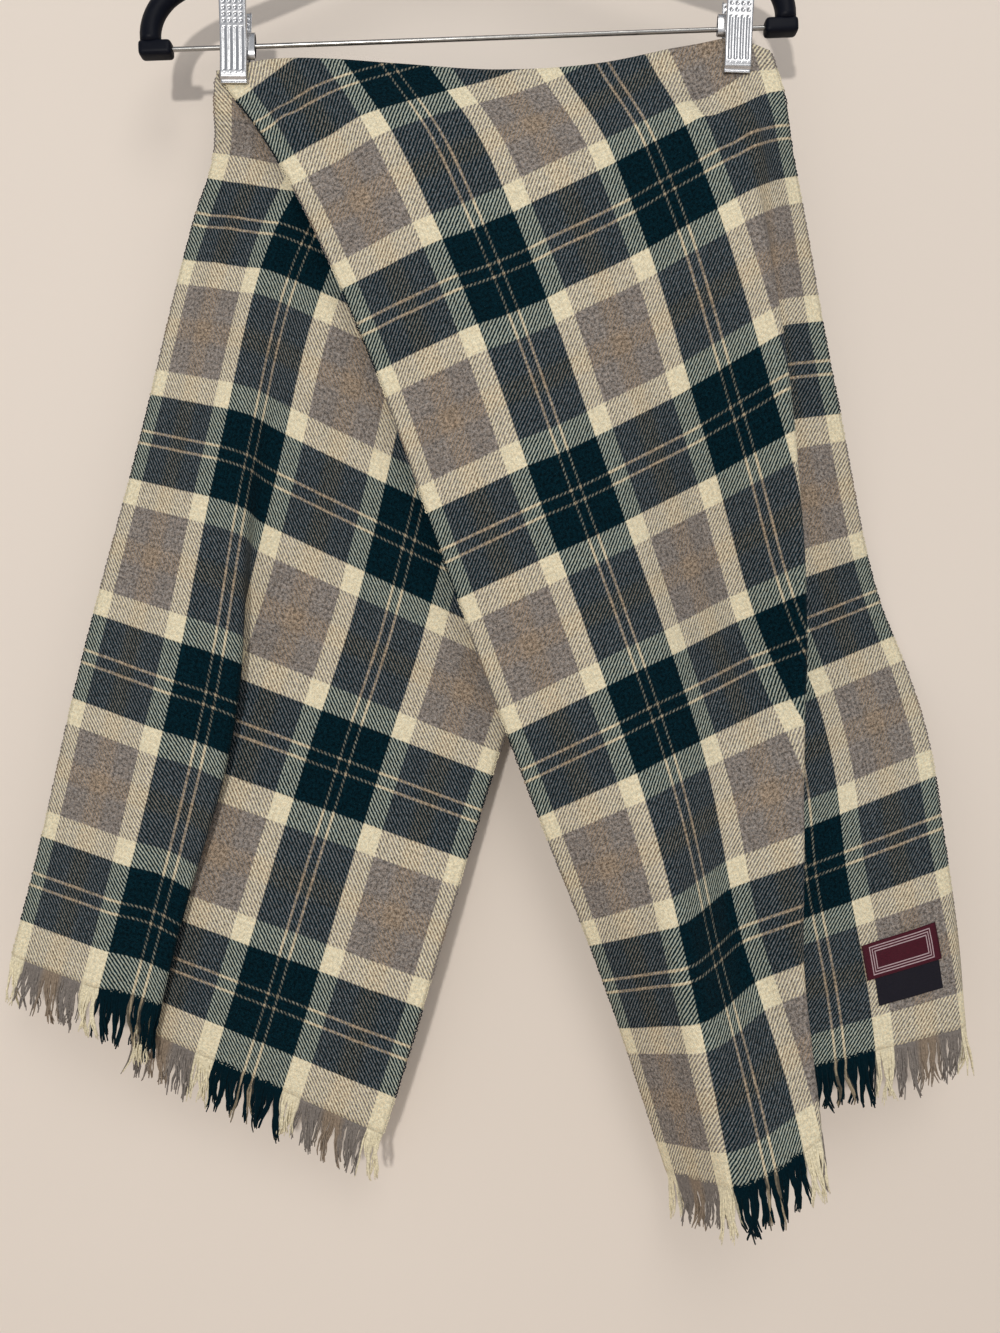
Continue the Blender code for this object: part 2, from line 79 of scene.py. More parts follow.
FRONT_SECTIONS = (
    (790.0, -172.0, 0.0, -206.0, 25.0, 25.0, 25.0, 0.0, 0.0, 0.0, 0.0, 178.0, 0.0, 0.0, 0.0, 1.0, 0.0),
    (758.0, -152.0, -1.0, -236.0, 25.5, 25.5, 25.5, 0.0, 0.0, 0.0, 0.0, 178.0, 0.0, 0.0, 0.0, 1.0, 0.0),
    (706.0, -122.5, -2.0, -277.0, 25.5, 26.0, 25.0, -6.0, 2.0, 0.0, 0.0, 179.0, 8.0, 0.0, 8.0, 1.0, 0.0),
    (560.0, -59.0, -1.0, -404.0, 20.0, 27.5, 22.0, -16.0, 14.0, 4.0, -4.0, 182.0, 46.0, 4.0, 26.0, 1.0, 0.0),
    (414.0, -7.0, 3.0, -546.0, 22.5, 27.5, 9.0, -18.0, 14.0, 20.0, -20.0, 206.0, 108.0, 6.0, 16.0, 1.0, 0.0),
    (268.0, 44.0, 8.0, -685.0, 26.0, 21.0, 20.0, -20.0, 16.0, 31.0, -32.0, 223.0, 125.0, 7.0, 16.0, 1.0, 0.0),
    (122.0, 97.0, 18.0, -822.0, 18.0, 25.0, 18.0, -50.0, 40.0, -30.0, -32.0, 211.0, 148.0, 12.0, 9.0, 1.0, 5.0),
    (0.0, 138.0, 27.0, -946.0, 16.0, 41.0, 10.0, -66.0, 0.0, -24.0, -24.0, 218.0, 150.0, 25.0, 10.0, 1.0, 70.0),
)
BACK_SECTIONS = (
    (600.0, -81.0, 0.0, -92.0, -22.0, -22.0, -22.0, 0.0, 0.0, 0.0, 0.0, -60.0, 0.0, 0.0, 0.0, 1.0, 0.0),
    (762.0, -152.0, 1.0, -240.0, -20.0, -24.0, -24.0, 0.0, 0.0, 0.0, 0.0, -90.0, 0.0, 0.0, 0.0, 1.0, 0.0),
    (796.0, -154.0, 7.0, -273.5, -15.0, -25.0, -24.0, -8.0, 4.0, 0.0, 0.0, -98.0, 5.0, 0.0, 0.0, 0.92, 0.0),
    (852.0, -172.0, 15.0, -323.0, -13.0, -26.0, -24.0, -16.0, 10.0, 0.0, 0.0, -110.0, 10.0, 0.0, 0.0, 0.85, 0.0),
    (998.0, -207.0, 15.0, -465.5, -13.5, -31.0, -26.0, -16.0, 10.0, 0.0, 0.0, -135.0, 50.0, 2.0, 0.0, 0.83, 0.0),
    (1144.0, -243.5, 12.0, -608.5, -17.0, -25.0, -20.0, -18.0, 10.0, 0.0, 0.0, -142.0, 160.0, 5.0, 0.0, 1.0, 0.0),
    (1290.0, -275.5, 9.0, -752.5, -12.0, -42.0, -21.0, -20.0, 10.0, 0.0, 0.0, -176.0, 170.0, 12.0, 0.0, 1.0, 0.0),
    (1342.0, -288.5, 9.0, -802.5, -12.0, -34.0, -24.0, -20.0, 10.0, 0.0, 0.0, -188.0, 170.0, 12.0, 0.0, 1.0, 0.0),
)
CLIP_X = {"left": -140.0, "right": 178.0}
CLIP_REACH, CLIP_FADE, CLIP_BOTTOM_Z = 15.0, 34.0, -250.0

# Creases in the hanging cloth: the middle's s and v, the length along the warp, the width across
# it, the height towards the viewer, and how far its top leans across the warp, all in millimetres.
CREASES = (
    (14.0, 700.0, 70.0, 6.0, 1.8, 6.0), (34.0, 676.0, 110.0, 8.0, -1.5, 10.0),
    (52.0, 640.0, 150.0, 10.0, 1.6, 8.0), (78.0, 560.0, 220.0, 13.0, -1.2, 4.0),
    (24.0, 520.0, 180.0, 9.0, 1.2, -4.0), (104.0, 600.0, 170.0, 12.0, 1.3, -6.0),
    (140.0, 520.0, 240.0, 14.0, 1.4, -8.0), (168.0, 440.0, 230.0, 12.0, -1.5, -8.0),
    (196.0, 560.0, 190.0, 12.0, -1.3, -14.0), (214.0, 500.0, 200.0, 11.0, 1.5, -12.0),
    (244.0, 590.0, 90.0, 8.0, 1.4, -10.0), (262.0, 560.0, 120.0, 8.0, -1.6, -10.0),
    (284.0, 520.0, 140.0, 8.0, 1.5, -4.0), (40.0, 380.0, 200.0, 11.0, -1.0, 4.0),
    (92.0, 330.0, 180.0, 10.0, 1.1, 2.0), (128.0, 250.0, 190.0, 11.0, -1.2, -4.0),
    (30.0, 190.0, 170.0, 9.0, 1.2, 2.0), (60.0, 90.0, 130.0, 7.0, 1.0, 2.0),
    (112.0, 60.0, 120.0, 8.0, 1.2, -2.0), (150.0, 100.0, 150.0, 9.0, -1.0, -2.0),
    (262.0, 200.0, 160.0, 10.0, 1.3, 3.0), (288.0, 130.0, 150.0, 8.0, -1.1, 2.0),
    (12.0, 850.0, 90.0, 6.0, 1.6, -4.0), (32.0, 880.0, 150.0, 7.0, -1.6, -4.0),
    (52.0, 920.0, 170.0, 8.0, 1.7, -3.0), (74.0, 860.0, 130.0, 7.0, -1.5, 5.0),
    (96.0, 830.0, 120.0, 8.0, 1.4, 6.0), (150.0, 980.0, 200.0, 12.0, 1.3, 6.0),
    (190.0, 1080.0, 210.0, 12.0, -1.2, 5.0), (232.0, 1150.0, 180.0, 11.0, 1.2, 4.0),
    (26.0, 1120.0, 180.0, 9.0, 1.1, -2.0), (66.0, 1210.0, 160.0, 9.0, -1.1, 0.0),
    (170.0, 1260.0, 150.0, 9.0, 1.1, 3.0), (268.0, 1240.0, 170.0, 10.0, -1.1, 2.0),
    (290.0, 1000.0, 200.0, 10.0, 1.0, 0.0), (240.0, 860.0, 190.0, 13.0, -1.6, -8.0),
    (280.0, 760.0, 150.0, 9.0, 1.8, -8.0), (200.0, 800.0, 180.0, 12.0, 1.5, 4.0),
)


def ease(t):
    t = np.clip(t, 0.0, 1.0)
    return t * t * (3.0 - 2.0 * t)


def along(rows, column, at):
    """A column's value at each place in the first column, on a smooth curve through the rows."""
    rows = np.array(rows)
    rows = rows[np.argsort(rows[:, 0])]
    place, value = rows[:, 0], rows[:, column]
    slope = np.gradient(value, place)
    at = np.clip(at, place[0], place[-1])
    i = np.clip(np.searchsorted(place, at) - 1, 0, len(place) - 2)
    span = place[i + 1] - place[i]
    t = (at - place[i]) / span
    return ((2 * t**3 - 3 * t**2 + 1) * value[i] + (t**3 - 2 * t**2 + t) * span * slope[i]
            + (3 * t**2 - 2 * t**3) * value[i + 1] + (t**3 - t**2) * span * slope[i + 1])


def fold_v(s):
    return FOLD_V[0] + (FOLD_V[1] - FOLD_V[0]) * s / SCARF_WIDTH


def wefts(sections, v):
    """The paths of the wefts at each v, as arrays (v, s) of x, y and z."""
    part = {name: along(sections, k, v)[:, None] for k, name in enumerate(FALL_COLUMNS) if k}
    s = np.arange(0.0, SCARF_WIDTH + WEFT_STEP, WEFT_STEP)[None, :]
    strip = 1.0 - ease((s - STRIP_END) / SOFT_TURN + 0.5)
    before_middle = 1.0 - ease((s - PANEL_END) / SOFT_TURN + 0.5)
    near = ease((s - MIDDLE_END) / SOFT_TURN + 0.5)
    turn = (part["turn_strip"] * strip + part["turn_panel"] * (1.0 - strip) * before_middle
            + part["turn_middle"] * (1.0 - before_middle) * (1.0 - near) + part["turn_near"] * near)
    inner = ease((s - STRIP_END) / 50.0)
    rise = part["rise_strip"] * (1.0 - inner) + part["rise_middle"] * inner
    kept = part["gather"] * before_middle + 1.0 - before_middle
    across = np.cos(np.radians(turn)) * np.cos(np.radians(rise)) * kept
    flat_x = part["edge_x"] + (np.cumsum(across, axis=1) - across) * WEFT_STEP
    reach = part["ridge_x"] - 4.0
    start = np.array([np.interp(r, x, s[0]) for r, x in zip(reach[:, 0], flat_x)])[:, None]
    past = s - start
    out = ease(past / PLEAT_TURN)
    back = ease((past - PLEAT_TURN - part["pleat_back"]) / PLEAT_TURN)
    turn = turn * (1.0 - out) + part["pleat_turn"] * out * (1.0 - back) + part["turn_past"] * back
    beyond = ease((past - PLEAT_TURN - part["pleat_back"]) / (2.0 * PLEAT_TURN))
    rise = rise * (1.0 - beyond) + part["rise_past"] * beyond
    turn = turn + part["curl"] * ease((s - SCARF_WIDTH + CURL_WIDTH) / CURL_WIDTH)
    turn, rise = np.radians(turn), np.radians(rise)

    def summed(rate):
        rate = rate * kept
        middle = (rate[:, 1:] + rate[:, :-1]) / 2.0 * WEFT_STEP
        return np.concatenate([np.zeros((len(v), 1)), np.cumsum(middle, axis=1)], axis=1)

    return (part["edge_x"] + summed(np.cos(turn) * np.cos(rise)),
            part["edge_y"] + summed(np.sin(turn) * np.cos(rise)),
            part["edge_z"] + summed(np.sin(rise)))


class Fall:
    """One fall of the scarf, in front of the fold (side -1) or behind it (side 1)."""

    def __init__(self, sections, side):
        self.side = side
        low, high = min(row[0] for row in sections), max(row[0] for row in sections)
        self.v = np.linspace(low, high, int(high - low) // 2 + 1)
        self.x, self.y, self.z = wefts(sections, self.v)

    def laid(self, grid, s, v):
        i = (v - self.v[0]) / (self.v[1] - self.v[0])
        i0 = np.clip(np.floor(i).astype(int), 0, len(self.v) - 2)
        j = s / WEFT_STEP
        j0 = np.clip(np.floor(j).astype(int), 0, grid.shape[1] - 2)
        a, b = i - i0, j - j0
        return (grid[i0, j0] * (1 - a) * (1 - b) + grid[i0 + 1, j0] * a * (1 - b)
                + grid[i0, j0 + 1] * (1 - a) * b + grid[i0 + 1, j0 + 1] * a * b)

    def points(self, s, v):
        """The middle of the cloth, in metres."""
        top = fold_v(s)
        share = s / SCARF_WIDTH
        crest_x = FOLD_X[0] + (FOLD_X[1] - FOLD_X[0]) * share
        crest_z = along(FOLD_LINE, 1, share)
        down = np.abs(top - v)
        clamped = np.zeros_like(s)
        for clip_x in CLIP_X.values():
            aside = np.abs(crest_x - self.side * down * WARP_LEAN - clip_x)
            beside = 1.0 - ease((aside - CLIP_REACH) / CLIP_FADE)
            under = 1.0 - ease((CLIP_BOTTOM_Z - 3.0 - crest_z + down) / CLIP_FADE)
            clamped = np.maximum(clamped, beside * under)
        radius = PRESSED_RADIUS + (FOLD_RADIUS - PRESSED_RADIUS) * (1.0 - clamped)
        angle = np.minimum(down / radius, math.pi / 2)
        drop = radius * (1.0 - np.cos(angle)) + np.maximum(down - radius * math.pi / 2, 0.0)
        at = top - drop if self.side < 0 else top + drop
        held = 1.0 - ease(down / FOLD_BLEND)
        x = self.laid(self.x, s, at) + (crest_x - self.laid(self.x, s, top)) * held
        z = self.laid(self.z, s, at) + (crest_z - self.laid(self.z, s, top)) * held
        free = ease(down / (FOLD_BLEND * 0.8)) * (1.0 - clamped)
        y = self.side * radius * np.sin(angle) + self.laid(self.y, s, at) * free
        return np.stack([x, y, z], axis=-1) * MM


front_fall = Fall(FRONT_SECTIONS, -1)
back_fall = Fall(BACK_SECTIONS, 1)


def crease_height(s, v):
    """How far the creases and the slight unevenness of brushed cloth lift it, in millimetres."""
    height = 0.35 * np.sin(s / 17.0 + 0.8 * np.sin(v / 90.0)) * np.sin(v / 120.0 + s / 60.0)
    height += 0.18 * np.sin(s / 7.3 + v / 41.0) * np.sin(v / 23.0 - s / 31.0 + 1.0)
    for crease_s, crease_v, length, width, lift, lean in CREASES:
        off = (v - crease_v) / (length / 2.0)
        middle = crease_s + lean * off + 1.5 * np.sin(v / 37.0 + crease_s)
        height += lift * np.exp(-((s - middle) / width) ** 2) * np.clip(1.0 - off * off, 0.0, 1.0) ** 1.5
    down = np.abs(v - fold_v(s))
    edge = ease(np.minimum(s, SCARF_WIDTH - s) / 5.0)
    return height * ease((down - 8.0) / 45.0) * (0.35 + 0.65 * edge)


def cloth_points(s, v):
    """Places on the creased cloth, for arrays s and v on one side of the fold."""
    fall = front_fall if np.mean(v) < np.mean(fold_v(s)) else back_fall
    step = 0.6
    low, high = np.maximum(s - step, 0.0), np.minimum(s + step, SCARF_WIDTH)
    across = fall.points(high, v) - fall.points(low, v)
    up = fall.points(s, v + step) - fall.points(s, v - step)
    normal = np.cross(across, up)
    normal /= np.linalg.norm(normal, axis=-1, keepdims=True)
    return fall.points(s, v) + normal * crease_height(s, v)[..., None] * MM, normal


CLOTH_COLUMNS, FRONT_ROWS, BACK_ROWS = 140, 172, 160
NEAR_FOLD = (0.0, 1.3, 2.7, 4.2, 6.0, 8.5)
across_scarf = np.linspace(0.0, SCARF_WIDTH, CLOTH_COLUMNS + 1)
top_line = fold_v(across_scarf)


def rows_down(side, count):
    """v along each row of one fall, close together at the fold and even below it."""
    whole = top_line if side < 0 else SCARF_LENGTH - top_line
    downs = [depth + 0.0 * whole for depth in NEAR_FOLD]
    downs += [NEAR_FOLD[-1] + share * (whole - NEAR_FOLD[-1]) for share in np.linspace(0.0, 1.0, count)[1:]]
    return np.array([top_line + side * down for down in downs])


front_v = rows_down(-1, FRONT_ROWS)[::-1]
back_v = rows_down(1, BACK_ROWS)[1:]
front_points = cloth_points(np.broadcast_to(across_scarf, front_v.shape), front_v)[0]
front_points[-1] = front_fall.points(across_scarf, top_line)
back_points = cloth_points(np.broadcast_to(across_scarf, back_v.shape), back_v)[0]
sheet_points = np.concatenate([front_points, back_points])
sheet_v = np.concatenate([front_v, back_v])


def grid_faces(high, wide):
    """The faces between rows of points, each row wide points long."""
    return [(i * wide + j, i * wide + j + 1, (i + 1) * wide + j + 1, (i + 1) * wide + j)
            for i in range(high - 1) for j in range(wide - 1)]


def sheet_from(name, points, s, v):
    """An open sheet through rows of points, with its place on the flat cloth as a UV in metres."""
    mesh = bpy.data.meshes.new(name)
    mesh.from_pydata(points.reshape(-1, 3).tolist(), [], grid_faces(*points.shape[:2]))
    place = mesh.uv_layers.new(name="cloth_place")
    corner = np.empty(len(mesh.loops), dtype=np.int32)
    mesh.loops.foreach_get("vertex_index", corner)
    flat = np.stack([s.reshape(-1)[corner], v.reshape(-1)[corner]], axis=1) * MM
    place.data.foreach_set("uv", flat.reshape(-1))
    mesh.update()
    mesh.shade_smooth()
    return mesh


def dressed(name, mesh, finish, slot_name, *nodes):
    """Puts a finished piece on the scarf's one body, in the place of its CAD nodes."""
    piece = bpy.data.objects.new(name, mesh)
    bpy.context.scene.collection.objects.link(piece)
    mesh.materials.append(finish)
    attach(piece, "root")
    if nodes:
        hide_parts(*nodes)
    return piece


def walled(piece, thickness, offset=0.0):
    wall = piece.modifiers.new("wall", "SOLIDIFY")
    wall.thickness = thickness * MM
    wall.offset = offset
    wall.use_even_offset = False
    return wall


# Colours of the dyed yarns, in linear light: bottle green, undyed cream, grey with both lighter
# and darker fibres spun in, the peach that tints the middle of the grey, and the tan overcheck.
GREEN_YARN = (0.0010, 0.0105, 0.0165)
CREAM_YARN = (0.74, 0.670, 0.485)
GREY_YARN = (0.205, 0.182, 0.165)
PEACH_YARN = (0.255, 0.200, 0.150)
TAN_YARN = (0.35, 0.285, 0.195)


class Weaver:
    """Adds nodes to one shader tree, with plain numbers or other nodes' sockets as inputs."""

    def __init__(self, tree):
        self.tree = tree

    def node(self, kind, **settings):
        made = self.tree.nodes.new(kind)
        for name, value in settings.items():
            setattr(made, name, value)
        return made

    def feed(self, socket, value):
        if isinstance(value, bpy.types.NodeSocket):
            self.tree.links.new(value, socket)
        elif value is not None:
            socket.default_value = value

    def maths(self, operation, *values):
        made = self.node("ShaderNodeMath", operation=operation)
        for socket, value in zip(made.inputs, values):
            self.feed(socket, value)
        return made.outputs[0]

    def plus(self, a, b):
        return self.maths("ADD", a, b)

    def minus(self, a, b):
        return self.maths("SUBTRACT", a, b)

    def times(self, a, b):
        return self.maths("MULTIPLY", a, b)

    def joined(self, x, y, z=0.0):
        made = self.node("ShaderNodeCombineXYZ")
        for socket, value in zip(made.inputs, (x, y, z)):
            self.feed(socket, value)
        return made.outputs[0]

    def noise(self, place, scale, detail=2.0, roughness=0.5):
        made = self.node("ShaderNodeTexNoise")
        self.feed(made.inputs["Vector"], place)
        made.inputs["Scale"].default_value = scale
        made.inputs["Detail"].default_value = detail
        made.inputs["Roughness"].default_value = roughness
        return made.outputs["Fac"]

    def ranged(self, value, low, high, to_low=0.0, to_high=1.0, shape="SMOOTHSTEP"):
        made = self.node("ShaderNodeMapRange", interpolation_type=shape)
        for socket, number in zip(made.inputs, (value, low, high, to_low, to_high)):
            self.feed(socket, number)
        return made.outputs[0]

    def mixed(self, share, a, b, blend="MIX"):
        made = self.node("ShaderNodeMix", data_type="RGBA", blend_type=blend)
        self.feed(made.inputs["Factor"], share)
        self.feed(made.inputs["A"], a)
        self.feed(made.inputs["B"], b)
        return made.outputs["Result"]

    def lit(self, colour, light):
        """The colour made darker or lighter by a share of one."""
        return self.mixed(1.0, colour, self.joined(light, light, light), "MULTIPLY")

    def raised(self, colour, power):
        made = self.node("ShaderNodeGamma")
        self.feed(made.inputs["Color"], colour)
        made.inputs["Gamma"].default_value = power
        return made.outputs[0]

    def grey(self, colour):
        made = self.node("ShaderNodeRGBToBW")
        self.feed(made.inputs[0], colour)
        return made.outputs[0]

    def ramp(self, share, stops):
        made = self.node("ShaderNodeValToRGB")
        self.feed(made.inputs[0], share)
        ramp = made.color_ramp
        ramp.elements[0].position, ramp.elements[0].color = stops[0][0], (*stops[0][1], 1.0)
        ramp.elements[1].position, ramp.elements[1].color = stops[-1][0], (*stops[-1][1], 1.0)
        for place, colour in stops[1:-1]:
            ramp.elements.new(place).color = (*colour, 1.0)
        return made.outputs["Color"]


def finish_group(name, takes, gives):
    """An empty node group with the named inputs and outputs, and a Weaver to fill it."""
    group = bpy.data.node_groups.new(name, "ShaderNodeTree")
    for socket, kind, value in takes:
        made = group.interface.new_socket(socket, in_out="INPUT", socket_type="NodeSocket" + kind)
        if value is not None:
            made.default_value = value
    for socket, kind in gives:
        group.interface.new_socket(socket, in_out="OUTPUT", socket_type="NodeSocket" + kind)
    weaver = Weaver(group)
    return group, weaver, weaver.node("NodeGroupInput").outputs, weaver.node("NodeGroupOutput").inputs


# The order of the yarns each way, in millimetres from the middle of a green band: half the
# repeat, the green's and cream's outer edges, the tan line's middle and half its width. Beyond
# the places in hems the weft is all cream.
WARP_STRIPES = dict(centre=94.3, half=60.2, green=24.1, cream=36.8, tan=3.3, tan_half=0.66, hems=None)
WEFT_STRIPES = dict(centre=122.0, half=73.0, green=28.0, cream=44.3, tan=4.05, tan_half=0.72, hems=(20.2, 1318.0))
BLEED, PEACH_FROM, PEACH_FULL = 0.35, 9.0, 4.5


def striped(name, centre, half, green, cream, tan, tan_half, hems):
    """The colour of the yarn at each place one way, mirrored about each green band's middle."""
    group, weaver, takes, gives = finish_group(name, [("Place", "Float", 0.0)], [("Yarn", "Color")])
    unevenness = weaver.noise(weaver.joined(takes["Place"], 0.0), 0.9)
    away = weaver.maths("PINGPONG", weaver.minus(takes["Place"], centre), half)
    away = weaver.plus(away, weaver.times(weaver.minus(unevenness, 0.5), 0.5))
    stops = [(0.0, GREEN_YARN)]
    for edge, before, after in (
        (tan - tan_half, GREEN_YARN, TAN_YARN), (tan + tan_half, TAN_YARN, GREEN_YARN),
        (green, GREEN_YARN, CREAM_YARN), (cream, CREAM_YARN, GREY_YARN),
    ):
        stops += [((edge - BLEED) / half, before), ((edge + BLEED) / half, after)]
    stops += [((half - PEACH_FROM) / half, GREY_YARN), ((half - PEACH_FULL) / half, PEACH_YARN), (1.0, PEACH_YARN)]
    yarn = weaver.ramp(weaver.maths("DIVIDE", away, half), stops)
    if hems:
        low_hem = weaver.ranged(takes["Place"], hems[0] + BLEED, hems[0] - BLEED)
        high_hem = weaver.ranged(takes["Place"], hems[1] - BLEED, hems[1] + BLEED)
        yarn = weaver.mixed(weaver.maths("MAXIMUM", low_hem, high_hem), yarn, (*CREAM_YARN, 1.0))
    weaver.feed(gives["Yarn"], yarn)
    return group


warp_stripes = striped("warp_stripes", **WARP_STRIPES)
weft_stripes = striped("weft_stripes", **WEFT_STRIPES)

# The weave: diagonal wales of warp over weft, each yarn a little lighter or darker along its run,
# with mottled fibres spun in. Where a pale yarn crosses a green one, the mix is darkened with
# painted shade, as if the raised yarns shaded it, and tinted towards teal.
WALE_PERIOD, YARN_PITCH, YARN_RUN = 2.76, 0.69, 26.0
WARP_SHOWS = (0.05, 0.93)
YARN_LIGHT, FIBRE_LIGHT, PATCH_LIGHT = (0.78, 1.24), (0.40, 1.72), (0.94, 1.06)
CREAM_EVENNESS = 0.68
# Multiplied into mixes of a pale yarn with a green one: painted shade, tinted towards teal.
PAINTED_SHADE_TINT = (0.575, 0.668, 0.765, 1.0)
NAP_COLOUR, NAP_MOST = (0.16, 0.17, 0.16, 1.0), 0.10
DISPLAY_GAMMA = 2.2
twill, weaver, takes, gives = finish_group(
    "brushed_twill",
    [("Across", "Float", 0.0), ("Along", "Float", 0.0), ("Warp", "Color", None), ("Weft", "Color", None)],
    [("Colour", "Color"), ("Relief", "Float")],
)
across, lengthways = takes["Across"], takes["Along"]
place = weaver.joined(across, lengthways)


def yarn_streak(across_unit, along_unit, layer):
    """Unevenness drawn out along the yarns of one way."""
    stretched = weaver.joined(weaver.maths("DIVIDE", across, across_unit),
                              weaver.maths("DIVIDE", lengthways, along_unit), layer)
    return weaver.noise(stretched, 1.0, 1.0)


warp_streak = yarn_streak(YARN_PITCH, YARN_RUN, 0.0)
weft_streak = yarn_streak(YARN_RUN, YARN_PITCH, 7.0)
wander = weaver.times(weaver.minus(weaver.noise(place, 0.35, 3.0, 0.6), 0.5), 1.7)
slant = weaver.plus(weaver.minus(across, lengthways), wander)
wave = weaver.maths("PINGPONG", slant, WALE_PERIOD / 2.0)
warp_on_top = weaver.ranged(weaver.maths("DIVIDE", wave, WALE_PERIOD / 2.0), 0.22, 0.78, *WARP_SHOWS)
warp_seen = weaver.raised(takes["Warp"], 1 / DISPLAY_GAMMA)
weft_seen = weaver.raised(takes["Weft"], 1 / DISPLAY_GAMMA)
colour = weaver.raised(weaver.mixed(warp_on_top, weft_seen, warp_seen), DISPLAY_GAMMA)

warp_grey, weft_grey = weaver.grey(warp_seen), weaver.grey(weft_seen)
# Painted shade: where a pale yarn meets a green one, the mix is darkened and tinted teal.
unlike = weaver.ranged(weaver.maths("ABSOLUTE", weaver.minus(warp_grey, weft_grey)), 0.0, 0.3)
one_is_green = weaver.ranged(weaver.maths("MINIMUM", warp_grey, weft_grey), 0.46, 0.14)
painted_yarn_shade = weaver.mixed(weaver.times(unlike, one_is_green), (1.0, 1.0, 1.0, 1.0), PAINTED_SHADE_TINT)

streak = weaver.plus(weaver.times(warp_on_top, warp_streak),
                     weaver.times(weaver.minus(1.0, warp_on_top), weft_streak))
fibre = weaver.noise(place, 0.52, 4.0, 0.85)
patch = weaver.noise(place, 0.05, 3.0, 0.6)
light = weaver.ranged(streak, 0.25, 0.75, *YARN_LIGHT, "LINEAR")
light = weaver.times(light, weaver.ranged(fibre, 0.40, 0.60, *FIBRE_LIGHT, "LINEAR"))
light = weaver.times(light, weaver.ranged(patch, 0.3, 0.7, *PATCH_LIGHT, "LINEAR"))
even = weaver.ranged(weaver.grey(colour), 0.22, 0.60, 0.0, CREAM_EVENNESS)
light = weaver.plus(weaver.times(light, weaver.minus(1.0, even)), even)
colour = weaver.mixed(1.0, weaver.lit(colour, light), painted_yarn_shade, "MULTIPLY")

tint = weaver.noise(weaver.joined(across, lengthways, 31.0), 0.8, 2.0, 0.7)
redder = weaver.ranged(tint, 0.3, 0.7, 0.94, 1.07, "LINEAR")
bluer = weaver.ranged(tint, 0.3, 0.7, 1.06, 0.92, "LINEAR")
colour = weaver.mixed(1.0, colour, weaver.joined(redder, 1.0, bluer), "MULTIPLY")
nap = weaver.noise(weaver.joined(across, lengthways, 11.0), 1.6, 3.0, 0.7)
nap = weaver.ranged(nap, 0.56, 0.90, 0.0, NAP_MOST)
weaver.feed(gives["Colour"], weaver.mixed(nap, colour, NAP_COLOUR))
wales = weaver.maths("ABSOLUTE", weaver.minus(warp_on_top, 0.5))
weaver.feed(gives["Relief"], weaver.plus(weaver.times(wales, 0.9), weaver.times(fibre, 0.9)))


def new_finish(name):
    """A material with its Principled BSDF and a Weaver for its own nodes."""
    made = bpy.data.materials.new(name)
    made.use_nodes = True
    return made, made.node_tree.nodes["Principled BSDF"], Weaver(made.node_tree)


def bumped(weaver, shader, height, strength, depth):
    """Lets a height that changes over the surface catch the light. The depth is in millimetres."""
    bump = weaver.node("ShaderNodeBump")
    bump.inputs["Strength"].default_value = strength
    bump.inputs["Distance"].default_value = depth * MM
    weaver.feed(bump.inputs["Height"], height)
    weaver.feed(shader.inputs["Normal"], bump.outputs[0])


def place_on_cloth(weaver):
    """s and v in millimetres from the cloth's UV map."""
    flat = weaver.node("ShaderNodeSeparateXYZ")
    weaver.feed(flat.inputs[0], weaver.node("ShaderNodeUVMap", uv_map="cloth_place").outputs[0])
    return weaver.times(flat.outputs[0], 1.0 / MM), weaver.times(flat.outputs[1], 1.0 / MM)


def yarn_at(weaver, stripes, place):
    """The colour of the yarn at a place, from one of the two orders of stripes."""
    made = weaver.node("ShaderNodeGroup", node_tree=stripes)
    weaver.feed(made.inputs["Place"], place)
    return made.outputs["Yarn"]


def surface_place(weaver):
    """Places in the object's own space, in millimetres."""
    scaled = weaver.node("ShaderNodeVectorMath", operation="SCALE")
    weaver.feed(scaled.inputs[0], weaver.node("ShaderNodeTexCoord").outputs["Object"])
    scaled.inputs["Scale"].default_value = 1.0 / MM
    return scaled.outputs[0]


def soft_wool(shader):
    """Wool's broken shine: rough, with a pale sheen from its raised fibres."""
    shader.inputs["Roughness"].default_value = 0.95
    shader.inputs["Specular IOR Level"].default_value = 0.04
    shader.inputs["Sheen Weight"].default_value = 0.035
    shader.inputs["Sheen Roughness"].default_value = 0.4
    shader.inputs["Sheen Tint"].default_value = (0.80, 0.88, 0.88, 1.0)


tartan_wool, shader, weaver = new_finish("tartan_wool")
soft_wool(shader)
across, lengthways = place_on_cloth(weaver)
weave = weaver.node("ShaderNodeGroup", node_tree=twill)
weaver.feed(weave.inputs["Across"], across)
weaver.feed(weave.inputs["Along"], lengthways)
weaver.feed(weave.inputs["Warp"], yarn_at(weaver, warp_stripes, across))
weaver.feed(weave.inputs["Weft"], yarn_at(weaver, weft_stripes, lengthways))
weaver.feed(shader.inputs["Base Color"], weave.outputs["Colour"])
bumped(weaver, shader, weave.outputs["Relief"], 0.7, 0.5)

sheet_s = np.broadcast_to(across_scarf, sheet_v.shape)
scarf_cloth = dressed("scarf_cloth", sheet_from("scarf_cloth", sheet_points, sheet_s, sheet_v),
                      tartan_wool, "plaid_wool", "scarf_front_fall", "scarf_back_fall")
walled(scarf_cloth, CLOTH_WALL)

# The fringes: the warp's own ends, left unwoven for about 33 mm at each hem. They hang in loose
# tufts, each in the colour of its stripe, wavy where the weft once crossed them, and thin to tips.
GREEN_TUFTS = (3.6, 4.4, 3.2, 4.0, 4.8)
PALE_TUFTS = (2.4, 3.1, 2.0, 3.5, 2.7)
ROOT_PITCH, FRINGE_LENGTH = 0.76, (29.0, 36.5)
GREEN_RADIUS, PALE_RADIUS, ROOT_EXTRA = 0.86, 0.66, 0.22
STRAND_SIDES, STRAND_RINGS = 6, 10
dice = np.random.default_rng(20)


